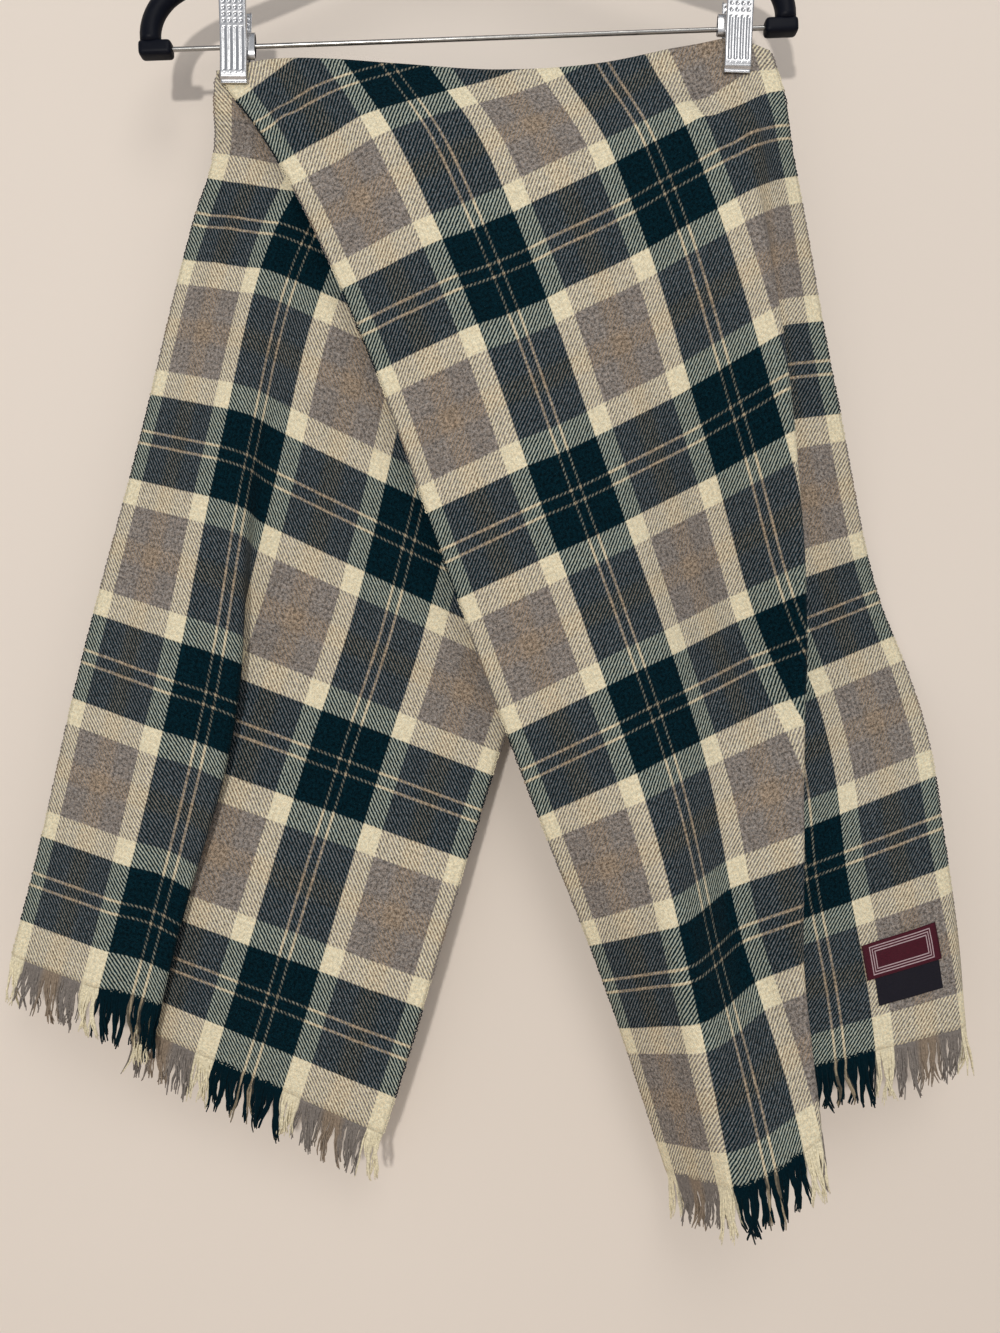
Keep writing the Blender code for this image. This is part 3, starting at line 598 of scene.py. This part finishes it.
def strand(centres, radii, verts, faces, places, s):
    """One closed tapering strand through its centres."""
    first = len(verts)
    centres = np.array(centres)
    heading = np.gradient(centres, axis=0)
    heading /= np.linalg.norm(heading, axis=1, keepdims=True)
    side = np.cross(heading, (0.0, 1.0, 0.1))
    side /= np.linalg.norm(side, axis=1, keepdims=True)
    other = np.cross(heading, side)
    run = 0.0
    for k, (centre, radius) in enumerate(zip(centres, radii)):
        if k:
            run += np.linalg.norm(centre - centres[k - 1]) / MM
        for a in range(STRAND_SIDES):
            angle = 2 * math.pi * a / STRAND_SIDES
            around = side[k] * math.cos(angle) + other[k] * 0.8 * math.sin(angle)
            verts.append(centre + around * radius * MM)
            places.append((s * MM, run * MM))
    for k in range(len(centres) - 1):
        for a in range(STRAND_SIDES):
            b = (a + 1) % STRAND_SIDES
            low, high = first + k * STRAND_SIDES, first + (k + 1) * STRAND_SIDES
            faces.append((low + a, low + b, high + b, high + a))
    faces.append(tuple(first + a for a in range(STRAND_SIDES))[::-1])
    last = first + (len(centres) - 1) * STRAND_SIDES
    faces.append(tuple(last + a for a in range(STRAND_SIDES)))


def yarn_mesh(name, verts, faces, places):
    mesh = bpy.data.meshes.new(name)
    mesh.from_pydata([tuple(v) for v in verts], [], faces)
    layer = mesh.uv_layers.new(name="cloth_place")
    corner = np.empty(len(mesh.loops), dtype=np.int32)
    mesh.loops.foreach_get("vertex_index", corner)
    layer.data.foreach_set("uv", np.array(places, dtype=float)[corner].reshape(-1))
    mesh.update()
    mesh.shade_smooth()
    return mesh


def fringe_mesh(name, fall):
    hem = 0.0 if fall.side < 0 else SCARF_LENGTH
    verts, faces, places = [], [], []
    down = np.array((0.0, 0.0, -1.0))
    place, k = 0.0, 0
    centre, half = WARP_STRIPES["centre"], WARP_STRIPES["half"]
    while place < SCARF_WIDTH - 0.5:
        green = abs((place + 2.0 - centre + half) % (2.0 * half) - half) < WARP_STRIPES["green"]
        width = (GREEN_TUFTS if green else PALE_TUFTS)[k % 5] * dice.uniform(0.9, 1.12)
        width = min(width, SCARF_WIDTH - place)
        middle = place + width / 2
        roots = np.linspace(place + 0.4, place + width - 0.4, max(2, round(width / ROOT_PITCH)))
        length = dice.uniform(*FRINGE_LENGTH)
        sway = dice.uniform(-0.17, 0.17, 2)
        wave = dice.uniform(0.5, 1.2, 2)
        phase = dice.uniform(0.0, 2 * math.pi, 2)
        gather = dice.uniform(0.25, 0.5) if green else dice.uniform(0.05, 0.3)
        near = np.array([hem, hem - fall.side * 3.0])
        warp = np.subtract(*fall.points(np.full(2, middle), near))
        warp /= np.linalg.norm(warp)
        aside = np.cross(warp, (0.0, 1.0, 0.0))
        aside /= np.linalg.norm(aside)
        ahead = np.cross(aside, warp)
        inside = hem - fall.side * np.append(dice.uniform(0.4, 2.3, len(roots)), 1.2)
        starts = cloth_points(np.append(roots, middle), inside)[0]
        core = starts[-1]
        for root, start in zip(roots, starts):
            reach = length * dice.uniform(0.86, 1.0)
            turn = dice.uniform(0.0, 2 * math.pi)
            fat = (GREEN_RADIUS if green else PALE_RADIUS) * dice.uniform(0.85, 1.15)
            centres, radii = [], []
            for t in np.linspace(0.0, 1.0, STRAND_RINGS):
                way = warp * (1 - 0.45 * t) + down * 0.45 * t + aside * sway[0] * t
                spine = core + way * reach * t * MM
                spine = spine + aside * wave[0] * math.sin(phase[0] + t * 7.0) * t * MM
                forward = wave[1] * math.sin(phase[1] + t * 5.0) * t + sway[1] * 16 * t * t
                spine = spine + ahead * forward * MM
                spread = (start - core) * (1 - gather * float(ease(t * 1.8)))
                twist = (0.6 if green else 0.7) * t ** 0.5
                angle = turn + t * 6.0
                around = aside * math.cos(angle) * twist + ahead * math.sin(angle) * twist
                crimp = aside * 0.22 * math.sin(turn * 3 + t * 34.0) * min(1.0, t * 4)
                centres.append(spine + spread + (around + crimp) * MM)
                radii.append(fat * (1.0 - 0.55 * t ** 3.0) + ROOT_EXTRA * max(0.0, 1.0 - t * 5.0))
            strand(centres, radii, verts, faces, places, root)
        place += width
        k += 1
    return yarn_mesh(name, verts, faces, places)


loose_yarn, shader, weaver = new_finish("loose_yarn")
soft_wool(shader)
across, lengthways = place_on_cloth(weaver)
drawn = weaver.joined(weaver.times(across, 2.2), weaver.times(lengthways, 0.35))
fibres = weaver.noise(drawn, 1.6, 3.0, 0.7)
light = weaver.ranged(fibres, 0.28, 0.72, 0.62, 1.30, "LINEAR")
weaver.feed(shader.inputs["Base Color"], weaver.lit(yarn_at(weaver, warp_stripes, across), light))
bumped(weaver, shader, fibres, 0.6, 0.4)
for fall_name, fall in (("front", front_fall), ("back", back_fall)):
    name = fall_name + "_fringe_tufts"
    dressed(name, fringe_mesh(name, fall), loose_yarn, "fringe_yarn", "fringe_" + fall_name)

# The selvedges: each weft turns back round the outermost warp in a small loose loop, so both long
# edges are finely serrated in the colours of the wefts. One piece for each edge.
LOOP_PITCH, LOOP_RADIUS, LOOP_RINGS = 2.3, 0.42, 6
weft_ends, shader, weaver = new_finish("weft_ends")
soft_wool(shader)
across, lengthways = place_on_cloth(weaver)
loops = weaver.noise(surface_place(weaver), 1.4, 3.0, 0.7)
light = weaver.ranged(loops, 0.3, 0.7, 0.5, 1.25, "LINEAR")
weaver.feed(shader.inputs["Base Color"], weaver.lit(yarn_at(weaver, weft_stripes, lengthways), light))
for edge_name, edge_s, outwards in (("left", 0.0, -1.0), ("right", SCARF_WIDTH, 1.0)):
    verts, faces, places = [], [], []
    for v in np.arange(1.5, SCARF_LENGTH - 1.0, LOOP_PITCH):
        if abs(v - fold_v(edge_s)) < 4.0:
            continue
        fall = front_fall if v < fold_v(edge_s) else back_fall
        inner = edge_s - outwards * 1.0
        centre, normal = cloth_points(np.array([edge_s, inner]), np.array([v, v]))
        out = (centre[0] - centre[1]) / np.linalg.norm(centre[0] - centre[1])
        up = np.cross(normal[0], out)
        reach = dice.uniform(0.5, 1.3)
        half = LOOP_PITCH * 0.42
        centres = [centre[1] + (out * (1.0 + reach * math.sin(a)) + up * half * math.cos(a)) * MM
                   for a in np.linspace(0.0, math.pi, LOOP_RINGS)]
        strand(centres, [LOOP_RADIUS] * LOOP_RINGS, verts, faces, places, edge_s)
        for k in range(len(places) - LOOP_RINGS * STRAND_SIDES, len(places)):
            places[k] = (edge_s * MM, v * MM)
    name = "selvedge_loops_" + edge_name
    dressed(name, yarn_mesh(name, verts, faces, places), weft_ends, "plaid_wool")

# The two labels, sewn flat on the front fall by its right selvedge: a burgundy satin one with
# a woven frame of three pale lines, and a plain dark care tape that comes out from under it.
LABEL_COLUMNS, LABEL_ROWS, LABEL_WALL = 61, 27, 0.5
BURGUNDY, FRAME_LINE = (0.056, 0.0030, 0.0115, 1.0), (0.44, 0.33, 0.35, 1.0)
CARE_RIB, CARE_TAPE = (0.0045, 0.0038, 0.009, 1.0), (0.0075, 0.0062, 0.0135, 1.0)
FRAME_FROM, FRAME_TO, FRAME_PITCH = 2.4, 6.1, 1.6
LABELS = {
    "brand_label": dict(s=(239.0, 291.0), v=(43.0, 65.0), lift=1.3),
    "care_label": dict(s=(244.5, 289.0), v=(26.0, 46.0), lift=0.75),
}
for name, size in LABELS.items():
    s, v = np.meshgrid(np.linspace(*size["s"], LABEL_COLUMNS),
                       np.linspace(size["v"][1], size["v"][0], LABEL_ROWS))
    on_cloth, normal = cloth_points(s, v)
    puff = 0.12 * np.sin(s / 3.1) * np.sin(v / 2.3) + 0.25 * np.sin((s - 239.0) / 52.0 * math.pi)
    points = on_cloth + normal * (CLOTH_WALL / 2 + size["lift"] - 0.55 + puff)[..., None] * MM
    finish, shader, weaver = new_finish(name + "_satin")
    across, lengthways = place_on_cloth(weaver)
    ribs = weaver.maths("PINGPONG", lengthways, 0.28)
    drawn = weaver.joined(weaver.times(across, 0.4), weaver.times(lengthways, 4.0))
    threads = weaver.noise(drawn, 1.0, 2.0)
    shade = weaver.ranged(threads, 0.3, 0.7, 0.7, 1.3, "LINEAR")
    if name == "brand_label":
        inset_s, inset_v = (
            weaver.maths("MINIMUM", weaver.minus(place, low), weaver.minus(high, place))
            for place, (low, high) in ((across, size["s"]), (lengthways, size["v"]))
        )
        inset = weaver.maths("MINIMUM", weaver.minus(inset_s, 2.6), inset_v)
        lines_in = weaver.maths("PINGPONG", weaver.minus(inset, FRAME_FROM), FRAME_PITCH / 2.0)
        in_frame = weaver.times(weaver.ranged(inset, FRAME_FROM - 0.5, FRAME_FROM - 0.4),
                                weaver.ranged(inset, FRAME_TO, FRAME_TO - 0.1))
        pale = weaver.times(weaver.ranged(lines_in, 0.42, 0.22), in_frame)
        colour = weaver.mixed(pale, BURGUNDY, FRAME_LINE)
        shade = weaver.times(shade, weaver.ranged(inset_s, 1.0, 1.5, 0.72, 1.0))
    else:
        colour = weaver.mixed(weaver.ranged(ribs, 0.05, 0.2), CARE_RIB, CARE_TAPE)
    weaver.feed(shader.inputs["Base Color"], weaver.lit(colour, shade))
    shader.inputs["Roughness"].default_value = 0.6
    shader.inputs["Specular IOR Level"].default_value = 0.2
    shader.inputs["Sheen Weight"].default_value = 0.02
    bumped(weaver, shader, weaver.plus(weaver.times(ribs, 2.0), threads), 0.5, 0.3)
    slot_name = "burgundy_label" if name == "brand_label" else "dark_label"
    piece = dressed(name + "_woven", sheet_from(name, points, s, v), finish, slot_name, name)
    walled(piece, LABEL_WALL)

# The hanger's moulding: satin blue-black plastic, in one piece from foot to foot with a boss for
# the hook. Only the ends of its arms and its feet show in the photograph.
HANGER_TILT = 2.09
ROD_Z = -215.0
FOOT_IN, FOOT_OUT, FOOT_HEIGHT, FOOT_DEPTH, FOOT_ROUNDING = 187.5, 208.5, 9.6, 10.0, 3.2
ARM_HALF_WIDTH, ARM_HALF_DEPTH, ARM_RINGS = 6.6, 5.8, 72
BOSS_LOW, BOSS_HIGH, BOSS_ROUNDING = (-13.0, -7.0, -121.0), (13.0, 7.0, -88.0), 4.5
hung = Matrix.Rotation(-math.radians(HANGER_TILT), 4, "Y")


def smooth_line(points, count):
    """Evenly spread points on a smooth line through a few."""
    points = np.array(points, float)
    run = np.concatenate([[0.0], np.cumsum(np.linalg.norm(np.diff(points, axis=0), axis=1))])
    at = np.linspace(0.0, run[-1], count)
    return np.stack([along(np.stack([run, column], axis=1), 1, at) for column in points.T], axis=1)


def tube(form, line, radii, sides=20):
    """A closed round bar along a line in the hanger's plane, with half width and half depth."""
    line = np.array(line)
    heading = np.gradient(line, axis=0)
    heading /= np.linalg.norm(heading, axis=1, keepdims=True)
    rings = []
    for (x, z), (dx, dz), (wide, deep) in zip(line, heading, radii):
        ring = []
        for k in range(sides):
            angle = 2 * math.pi * k / sides
            off = wide * math.cos(angle)
            place = hung @ Vector((x - dz * off, deep * math.sin(angle), z + dx * off))
            ring.append(form.verts.new(place * MM))
        rings.append(ring)
    for here, there in zip(rings, rings[1:]):
        for k in range(sides):
            n = (k + 1) % sides
            form.faces.new((here[k], here[n], there[n], there[k]))
    form.faces.new(rings[0][::-1])
    form.faces.new(rings[-1])


def rounded_block(form, low, high, rounding):
    """A block with softly rounded edges."""
    made = bmesh.ops.create_cube(form, size=1.0)["verts"]
    for vert in made:
        vert.co = Vector([(a + (c + 0.5) * (b - a)) * MM for a, b, c in zip(low, high, vert.co)])
    edges = list({edge for vert in made for edge in vert.link_edges})
    grown = bmesh.ops.bevel(form, geom=edges, offset=rounding * MM, segments=5, profile=0.6,
                            affect="EDGES")
    for vert in set(grown["verts"]) | {vert for vert in made if vert.is_valid}:
        vert.co = hung @ vert.co


def mesh_of(name, form, sharp=None):
    mesh = bpy.data.meshes.new(name)
    bmesh.ops.recalc_face_normals(form, faces=form.faces)
    form.to_mesh(mesh)
    form.free()
    mesh.shade_smooth()
    if sharp:
        mesh.set_sharp_from_angle(angle=math.radians(sharp))
    return mesh


black_moulding, shader, weaver = new_finish("black_moulding")
place = surface_place(weaver)
scuffs = weaver.ranged(weaver.noise(place, 0.22, 5.0, 0.68), 0.45, 0.8)
grain = weaver.noise(place, 3.5, 2.0)
black = weaver.mixed(scuffs, (0.0018, 0.0028, 0.0075, 1.0), (0.0045, 0.0058, 0.0110, 1.0))
weaver.feed(shader.inputs["Base Color"], black)
worn = weaver.plus(scuffs, weaver.times(grain, 0.3))
weaver.feed(shader.inputs["Roughness"], weaver.ranged(worn, 0.0, 1.3, 0.42, 0.62, "LINEAR"))
shader.inputs["Specular IOR Level"].default_value = 0.12
bumped(weaver, shader, grain, 0.12, 0.2)

ARM_LINE = (
    (12.0, -113.5), (20.0, -114.0), (34.0, -119.0), (70.0, -133.5), (110.0, -149.5), (140.0, -161.0),
    (160.0, -168.0), (178.0, -175.0), (191.0, -183.5), (198.5, -194.0), (201.2, -203.5), (201.2, -211.0),
)
for name, side in (("left", -1.0), ("right", 1.0)):
    form = bmesh.new()
    line = smooth_line([(side * x, z) for x, z in ARM_LINE], ARM_RINGS)
    tube(form, line, [(ARM_HALF_WIDTH, ARM_HALF_DEPTH)] * ARM_RINGS)
    arm = mesh_of("hanger_arm_moulding_" + name, form)
    dressed(arm.name, arm, black_moulding, "hanger_plastic", "hanger_arm_" + name)
    form = bmesh.new()
    inner, outer = sorted((side * FOOT_IN, side * FOOT_OUT))
    rounded_block(form, (inner, -FOOT_DEPTH / 2, ROD_Z - FOOT_HEIGHT / 2),
                  (outer, FOOT_DEPTH / 2, ROD_Z + FOOT_HEIGHT / 2), FOOT_ROUNDING)
    foot = mesh_of("hanger_foot_moulding_" + name, form)
    dressed(foot.name, foot, black_moulding, "hanger_plastic", "hanger_foot_" + name)
form = bmesh.new()
rounded_block(form, BOSS_LOW, BOSS_HIGH, BOSS_ROUNDING)
dressed("hanger_boss", mesh_of("hanger_boss", form), black_moulding, "hanger_plastic", "hanger_neck")

# The wirework: a plated steel hook turned from 4 mm wire and set in the boss, and a 3 mm steel
# rod between the feet, which carries the clips.
HOOK_WIRE, HOOK_INNER, ROD_RADIUS = 2.0, 19.0, 1.5
HOOK_RINGS, HOOK_SIDES, ROD_RINGS, ROD_SIDES = 110, 14, 40, 16
HOOK_STEM = [(0.0, -89.0), (0.0, -70.0), (0.6, -60.0), (3.0, -50.0), (7.5, -42.0)]
plated_wire, shader, weaver = new_finish("plated_wire")
place = surface_place(weaver)
drawn = weaver.node("ShaderNodeVectorMath", operation="MULTIPLY")
weaver.feed(drawn.inputs[0], place)
drawn.inputs[1].default_value = (0.1, 2.0, 2.0)
lines_drawn = weaver.noise(drawn.outputs[0], 1.2, 3.0)
tarnish = weaver.ranged(weaver.noise(place, 0.12, 4.0, 0.6), 0.5, 0.8)
shader.inputs["Metallic"].default_value = 1.0
plating = weaver.mixed(tarnish, (0.36, 0.355, 0.345, 1.0), (0.24, 0.235, 0.225, 1.0))
weaver.feed(shader.inputs["Base Color"], plating)
weaver.feed(shader.inputs["Roughness"], weaver.ranged(lines_drawn, 0.3, 0.7, 0.20, 0.34, "LINEAR"))
bumped(weaver, shader, lines_drawn, 0.15, 0.1)
ring = HOOK_INNER + HOOK_WIRE
turn = [math.radians(degrees) for degrees in range(-52, 206, 12)]
hook_line = HOOK_STEM + [(ring * math.cos(a), -HOOK_INNER + ring * math.sin(a)) for a in turn]
hook_line = smooth_line(hook_line, HOOK_RINGS)
hook_radii = [(HOOK_WIRE, HOOK_WIRE)] * (HOOK_RINGS - 1) + [(HOOK_WIRE * 0.8, HOOK_WIRE * 0.8)]
form = bmesh.new()
tube(form, hook_line, hook_radii, HOOK_SIDES)
dressed("hook_wire", mesh_of("hook_wire", form, 60), plated_wire, "polished_steel", "hanger_hook")
form = bmesh.new()
rod_line = [(x, ROD_Z) for x in np.linspace(-FOOT_IN - 1.0, FOOT_IN + 1.0, ROD_RINGS)]
tube(form, rod_line, [(ROD_RADIUS, ROD_RADIUS)] * ROD_RINGS, ROD_SIDES)
dressed("rod_wire", mesh_of("rod_wire", form, 60), plated_wire, "polished_steel", "hanger_rod")

# The clips: each is two plates pressed from nickel-plated sheet, with rolled sides, sixteen dimples
# at the top to grip, four long flutes below, a lip along the jaw, and a bowed spring on the rod.
CLIP_WIDTH, CLIP_TOP, CLIP_JAW = 17.0, 27.0, -25.0
CLIP_LEAN = {"left": 0.0, "right": 1.8}
CLIP_DROP = {"left": 0.0, "right": 5.0}
CLIP_FACE = (
    (-25.0, 4.6), (-23.2, 4.3), (-22.6, 4.7), (-21.8, 5.7), (-20.6, 6.0), (-9.0, 6.3), (0.0, 6.7),
    (10.0, 7.5), (27.0, 9.6),
)
PRESSED_COLUMNS, DIMPLE_ROWS = (-5.4, -1.8, 1.8, 5.4), (23.6, 19.8, 16.0, 12.2)
DIMPLE_RADIUS, DIMPLE_RISE, FLUTE_HALF, FLUTE_RISE, FLUTE_ENDS = 1.35, 0.55, 1.5, 0.5, (-18.4, 9.3)
DOT_Z, DOT_RADIUS, DOT_RISE = -19.5, 0.55, 0.35
ROLL_RADIUS, ROLL_REACH, PLATE_WALL = 1.3, 1.6, 0.6
BOW_TURNS, BOW_FROM, BOW_TO, BOW_OUT, BOW_HIGH = 28, 2.0, 12.6, 3.9, 9.0
BOW_LOW = {"left": 8.0, "right": 5.2}
pressed_nickel, shader, weaver = new_finish("pressed_nickel")
place = surface_place(weaver)
shader.inputs["Metallic"].default_value = 1.0
dull = weaver.ranged(weaver.noise(place, 0.3, 4.0, 0.62), 0.4, 0.8)
fine = weaver.noise(place, 4.0, 3.0)
nickel = weaver.mixed(dull, (0.62, 0.63, 0.65, 1.0), (0.48, 0.485, 0.50, 1.0))
weaver.feed(shader.inputs["Base Color"], nickel)
worn = weaver.plus(dull, weaver.times(fine, 0.4))
weaver.feed(shader.inputs["Roughness"], weaver.ranged(worn, 0.1, 1.3, 0.24, 0.42, "LINEAR"))
bumped(weaver, shader, fine, 0.05, 0.1)


def clip_place(name):
    """Where a clip hangs on the tilted rod, and how it leans."""
    tilt = math.radians(HANGER_TILT)
    rod_x = CLIP_X[name] * math.cos(tilt) + ROD_Z * math.sin(tilt)
    seat = Matrix.Translation(Vector((rod_x, 0.0, ROD_Z - CLIP_DROP[name])))
    return hung @ seat @ Matrix.Rotation(math.radians(HANGER_TILT + CLIP_LEAN[name]), 4, "Y")


def plate_mesh(name, clip, side):
    """A pressed plate as an open sheet; its wall comes from a modifier."""
    half = CLIP_WIDTH / 2
    xs = np.linspace(-half - ROLL_REACH, half + ROLL_REACH, 96)
    zs = np.linspace(CLIP_JAW, CLIP_TOP, 190)
    x, z = np.meshgrid(xs, zs)
    y = along(CLIP_FACE, 1, z)
    pressed = np.zeros_like(x)
    for column in PRESSED_COLUMNS:
        for row in DIMPLE_ROWS:
            away = np.hypot(x - column, z - row) / DIMPLE_RADIUS
            pressed = np.maximum(pressed, DIMPLE_RISE * (1 - ease(away - 0.15)))
        ends = ease((z - FLUTE_ENDS[0]) / 1.3) * ease((FLUTE_ENDS[1] - z) / 1.3)
        flute = FLUTE_RISE * (1 - ease(np.abs(x - column) / FLUTE_HALF - 0.05)) * ends
        dot = DOT_RISE * (1 - ease(np.hypot(x - column, z - DOT_Z) / DOT_RADIUS))
        pressed = np.maximum(np.maximum(pressed, flute), dot)
    y = y - pressed
    beyond = np.maximum(np.abs(x) - (half - 1.0), 0.0)
    bend = np.minimum(beyond / ROLL_RADIUS, math.pi / 2)
    wide = np.sign(x) * (np.minimum(np.abs(x), half - 1.0) + ROLL_RADIUS * np.sin(bend) * 0.78)
    rolled = ROLL_RADIUS * (1 - np.cos(bend))
    y = y - (rolled + np.maximum(beyond - ROLL_RADIUS * math.pi / 2, 0.0))
    corner = np.maximum(z - (CLIP_TOP - ROLL_REACH), 0.0) / ROLL_REACH * (np.abs(x) > half - ROLL_REACH)
    wide = wide - np.sign(x) * 0.6 * corner ** 2
    seat = clip_place(clip)
    points = np.stack([wide, side * y, z], axis=-1)
    flat = points.reshape(-1, 3) @ np.array(seat.to_3x3()).T + np.array(seat.translation)
    high, across_count = x.shape
    faces = grid_faces(high, across_count)
    mesh = bpy.data.meshes.new(name)
    mesh.from_pydata((flat * MM).tolist(), [], faces if side < 0 else [face[::-1] for face in faces])
    mesh.update()
    mesh.shade_smooth()
    return mesh


for name in CLIP_X:
    for face, side in (("front", -1.0), ("back", 1.0)):
        plate = plate_mesh(f"clip_plate_{face}_{name}", name, side)
        piece = dressed(plate.name, plate, pressed_nickel, "clip_steel", f"clip_{face}_{name}")
        walled(piece, PLATE_WALL, -1.0)
    form = bmesh.new()
    seat = clip_place(name)
    inwards = 1.0 if CLIP_X[name] < 0 else -1.0
    rings = []
    for k in range(BOW_TURNS):
        angle = 2 * math.pi * k / BOW_TURNS
        high = math.sin(angle) * (BOW_HIGH if math.sin(angle) > 0 else BOW_LOW[name])
        out = BOW_OUT * math.cos(angle) * (0.75 + 0.25 * abs(math.sin(angle)))
        corner = []
        for thin, low, x in ((1.0, 1.0, BOW_FROM), (1.0, 1.0, BOW_TO), (0.80, 0.9, BOW_TO), (0.80, 0.9, BOW_FROM)):
            place = seat @ Vector((inwards * x, out * thin, CLIP_DROP[name] + high * low))
            corner.append(form.verts.new(place * MM))
        rings.append(corner)
    for here, there in zip(rings, rings[1:] + rings[:1]):
        for k in range(4):
            n = (k + 1) % 4
            form.faces.new((here[k], here[n], there[n], there[k]))
    bow = mesh_of("clip_bow_" + name, form, 40)
    dressed(bow.name, bow, pressed_nickel, "clip_steel", "clip_spring_" + name)

# The studio: one plain pale sheet that lies on the floor and sweeps up close behind the scarf, so
# that the scarf shades it. One small light hangs by the viewer and a broad one above, in an even
# pale surround. The sheet lets a view from behind through.
SWEEP_Y, SWEEP_TURN, FLOOR_Z, SWEEP_FRONT, SWEEP_TOP, SWEEP_HALF = 0.054, 0.5, -1.62, -2.6, 0.75, 2.2
sweep = [(SWEEP_FRONT, FLOOR_Z)]
for angle in np.linspace(0.0, math.pi / 2, 24):
    sweep.append((SWEEP_Y - SWEEP_TURN + SWEEP_TURN * math.sin(angle),
                  FLOOR_Z + SWEEP_TURN - SWEEP_TURN * math.cos(angle)))
sweep.append((SWEEP_Y, SWEEP_TOP))
floor_mesh = bpy.data.meshes.new("pale_sweep")
floor_mesh.from_pydata([(x, y, z) for y, z in sweep for x in (-SWEEP_HALF, SWEEP_HALF)], [],
                       [(2 * k, 2 * k + 1, 2 * k + 3, 2 * k + 2) for k in range(len(sweep) - 1)])
floor_mesh.shade_smooth()
pale, shader, weaver = new_finish("pale_paint")
speck = weaver.noise(surface_place(weaver), 0.004, 3.0)
paint = weaver.mixed(speck, (0.765, 0.690, 0.618, 1.0), (0.785, 0.710, 0.636, 1.0))
weaver.feed(shader.inputs["Base Color"], paint)
shader.inputs["Roughness"].default_value = 0.9
shader.inputs["Specular IOR Level"].default_value = 0.1
from_behind = weaver.node("ShaderNodeMixShader")
weaver.feed(from_behind.inputs[0], weaver.node("ShaderNodeNewGeometry").outputs["Backfacing"])
weaver.feed(from_behind.inputs[1], shader.outputs[0])
weaver.feed(from_behind.inputs[2], weaver.node("ShaderNodeBsdfTransparent").outputs[0])
weaver.feed(pale.node_tree.nodes["Material Output"].inputs["Surface"], from_behind.outputs[0])
floor_mesh.materials.append(pale)
pale_sweep = bpy.data.objects.new("pale_sweep", floor_mesh)
bpy.context.scene.collection.objects.link(pale_sweep)

surround = bpy.data.worlds.new("pale_surround")
surround.use_nodes = True
backing = surround.node_tree.nodes["Background"]
backing.inputs["Color"].default_value = (0.93, 0.95, 1.0, 1.0)
backing.inputs["Strength"].default_value = 0.42
bpy.context.scene.world = surround
for name, place, aim, size, watts in (
    ("front_light", (-0.32, -2.1, -0.33), (0.0, 0.0, -0.6), 0.12, 19.5),
    ("ceiling_light", (0.45, -1.9, 1.05), (0.0, 0.0, -0.5), 1.3, 12.0),
):
    lamp = bpy.data.lights.new(name, "AREA")
    lamp.shape = "DISK"
    lamp.size = size
    lamp.energy = watts
    lamp.color = (1.0, 0.965, 0.915)
    item = bpy.data.objects.new(name, lamp)
    item.location = place
    item.rotation_euler = (Vector(aim) - Vector(place)).to_track_quat("-Z", "Y").to_euler()
    bpy.context.scene.collection.objects.link(item)
bpy.context.scene.view_settings.view_transform = "Standard"
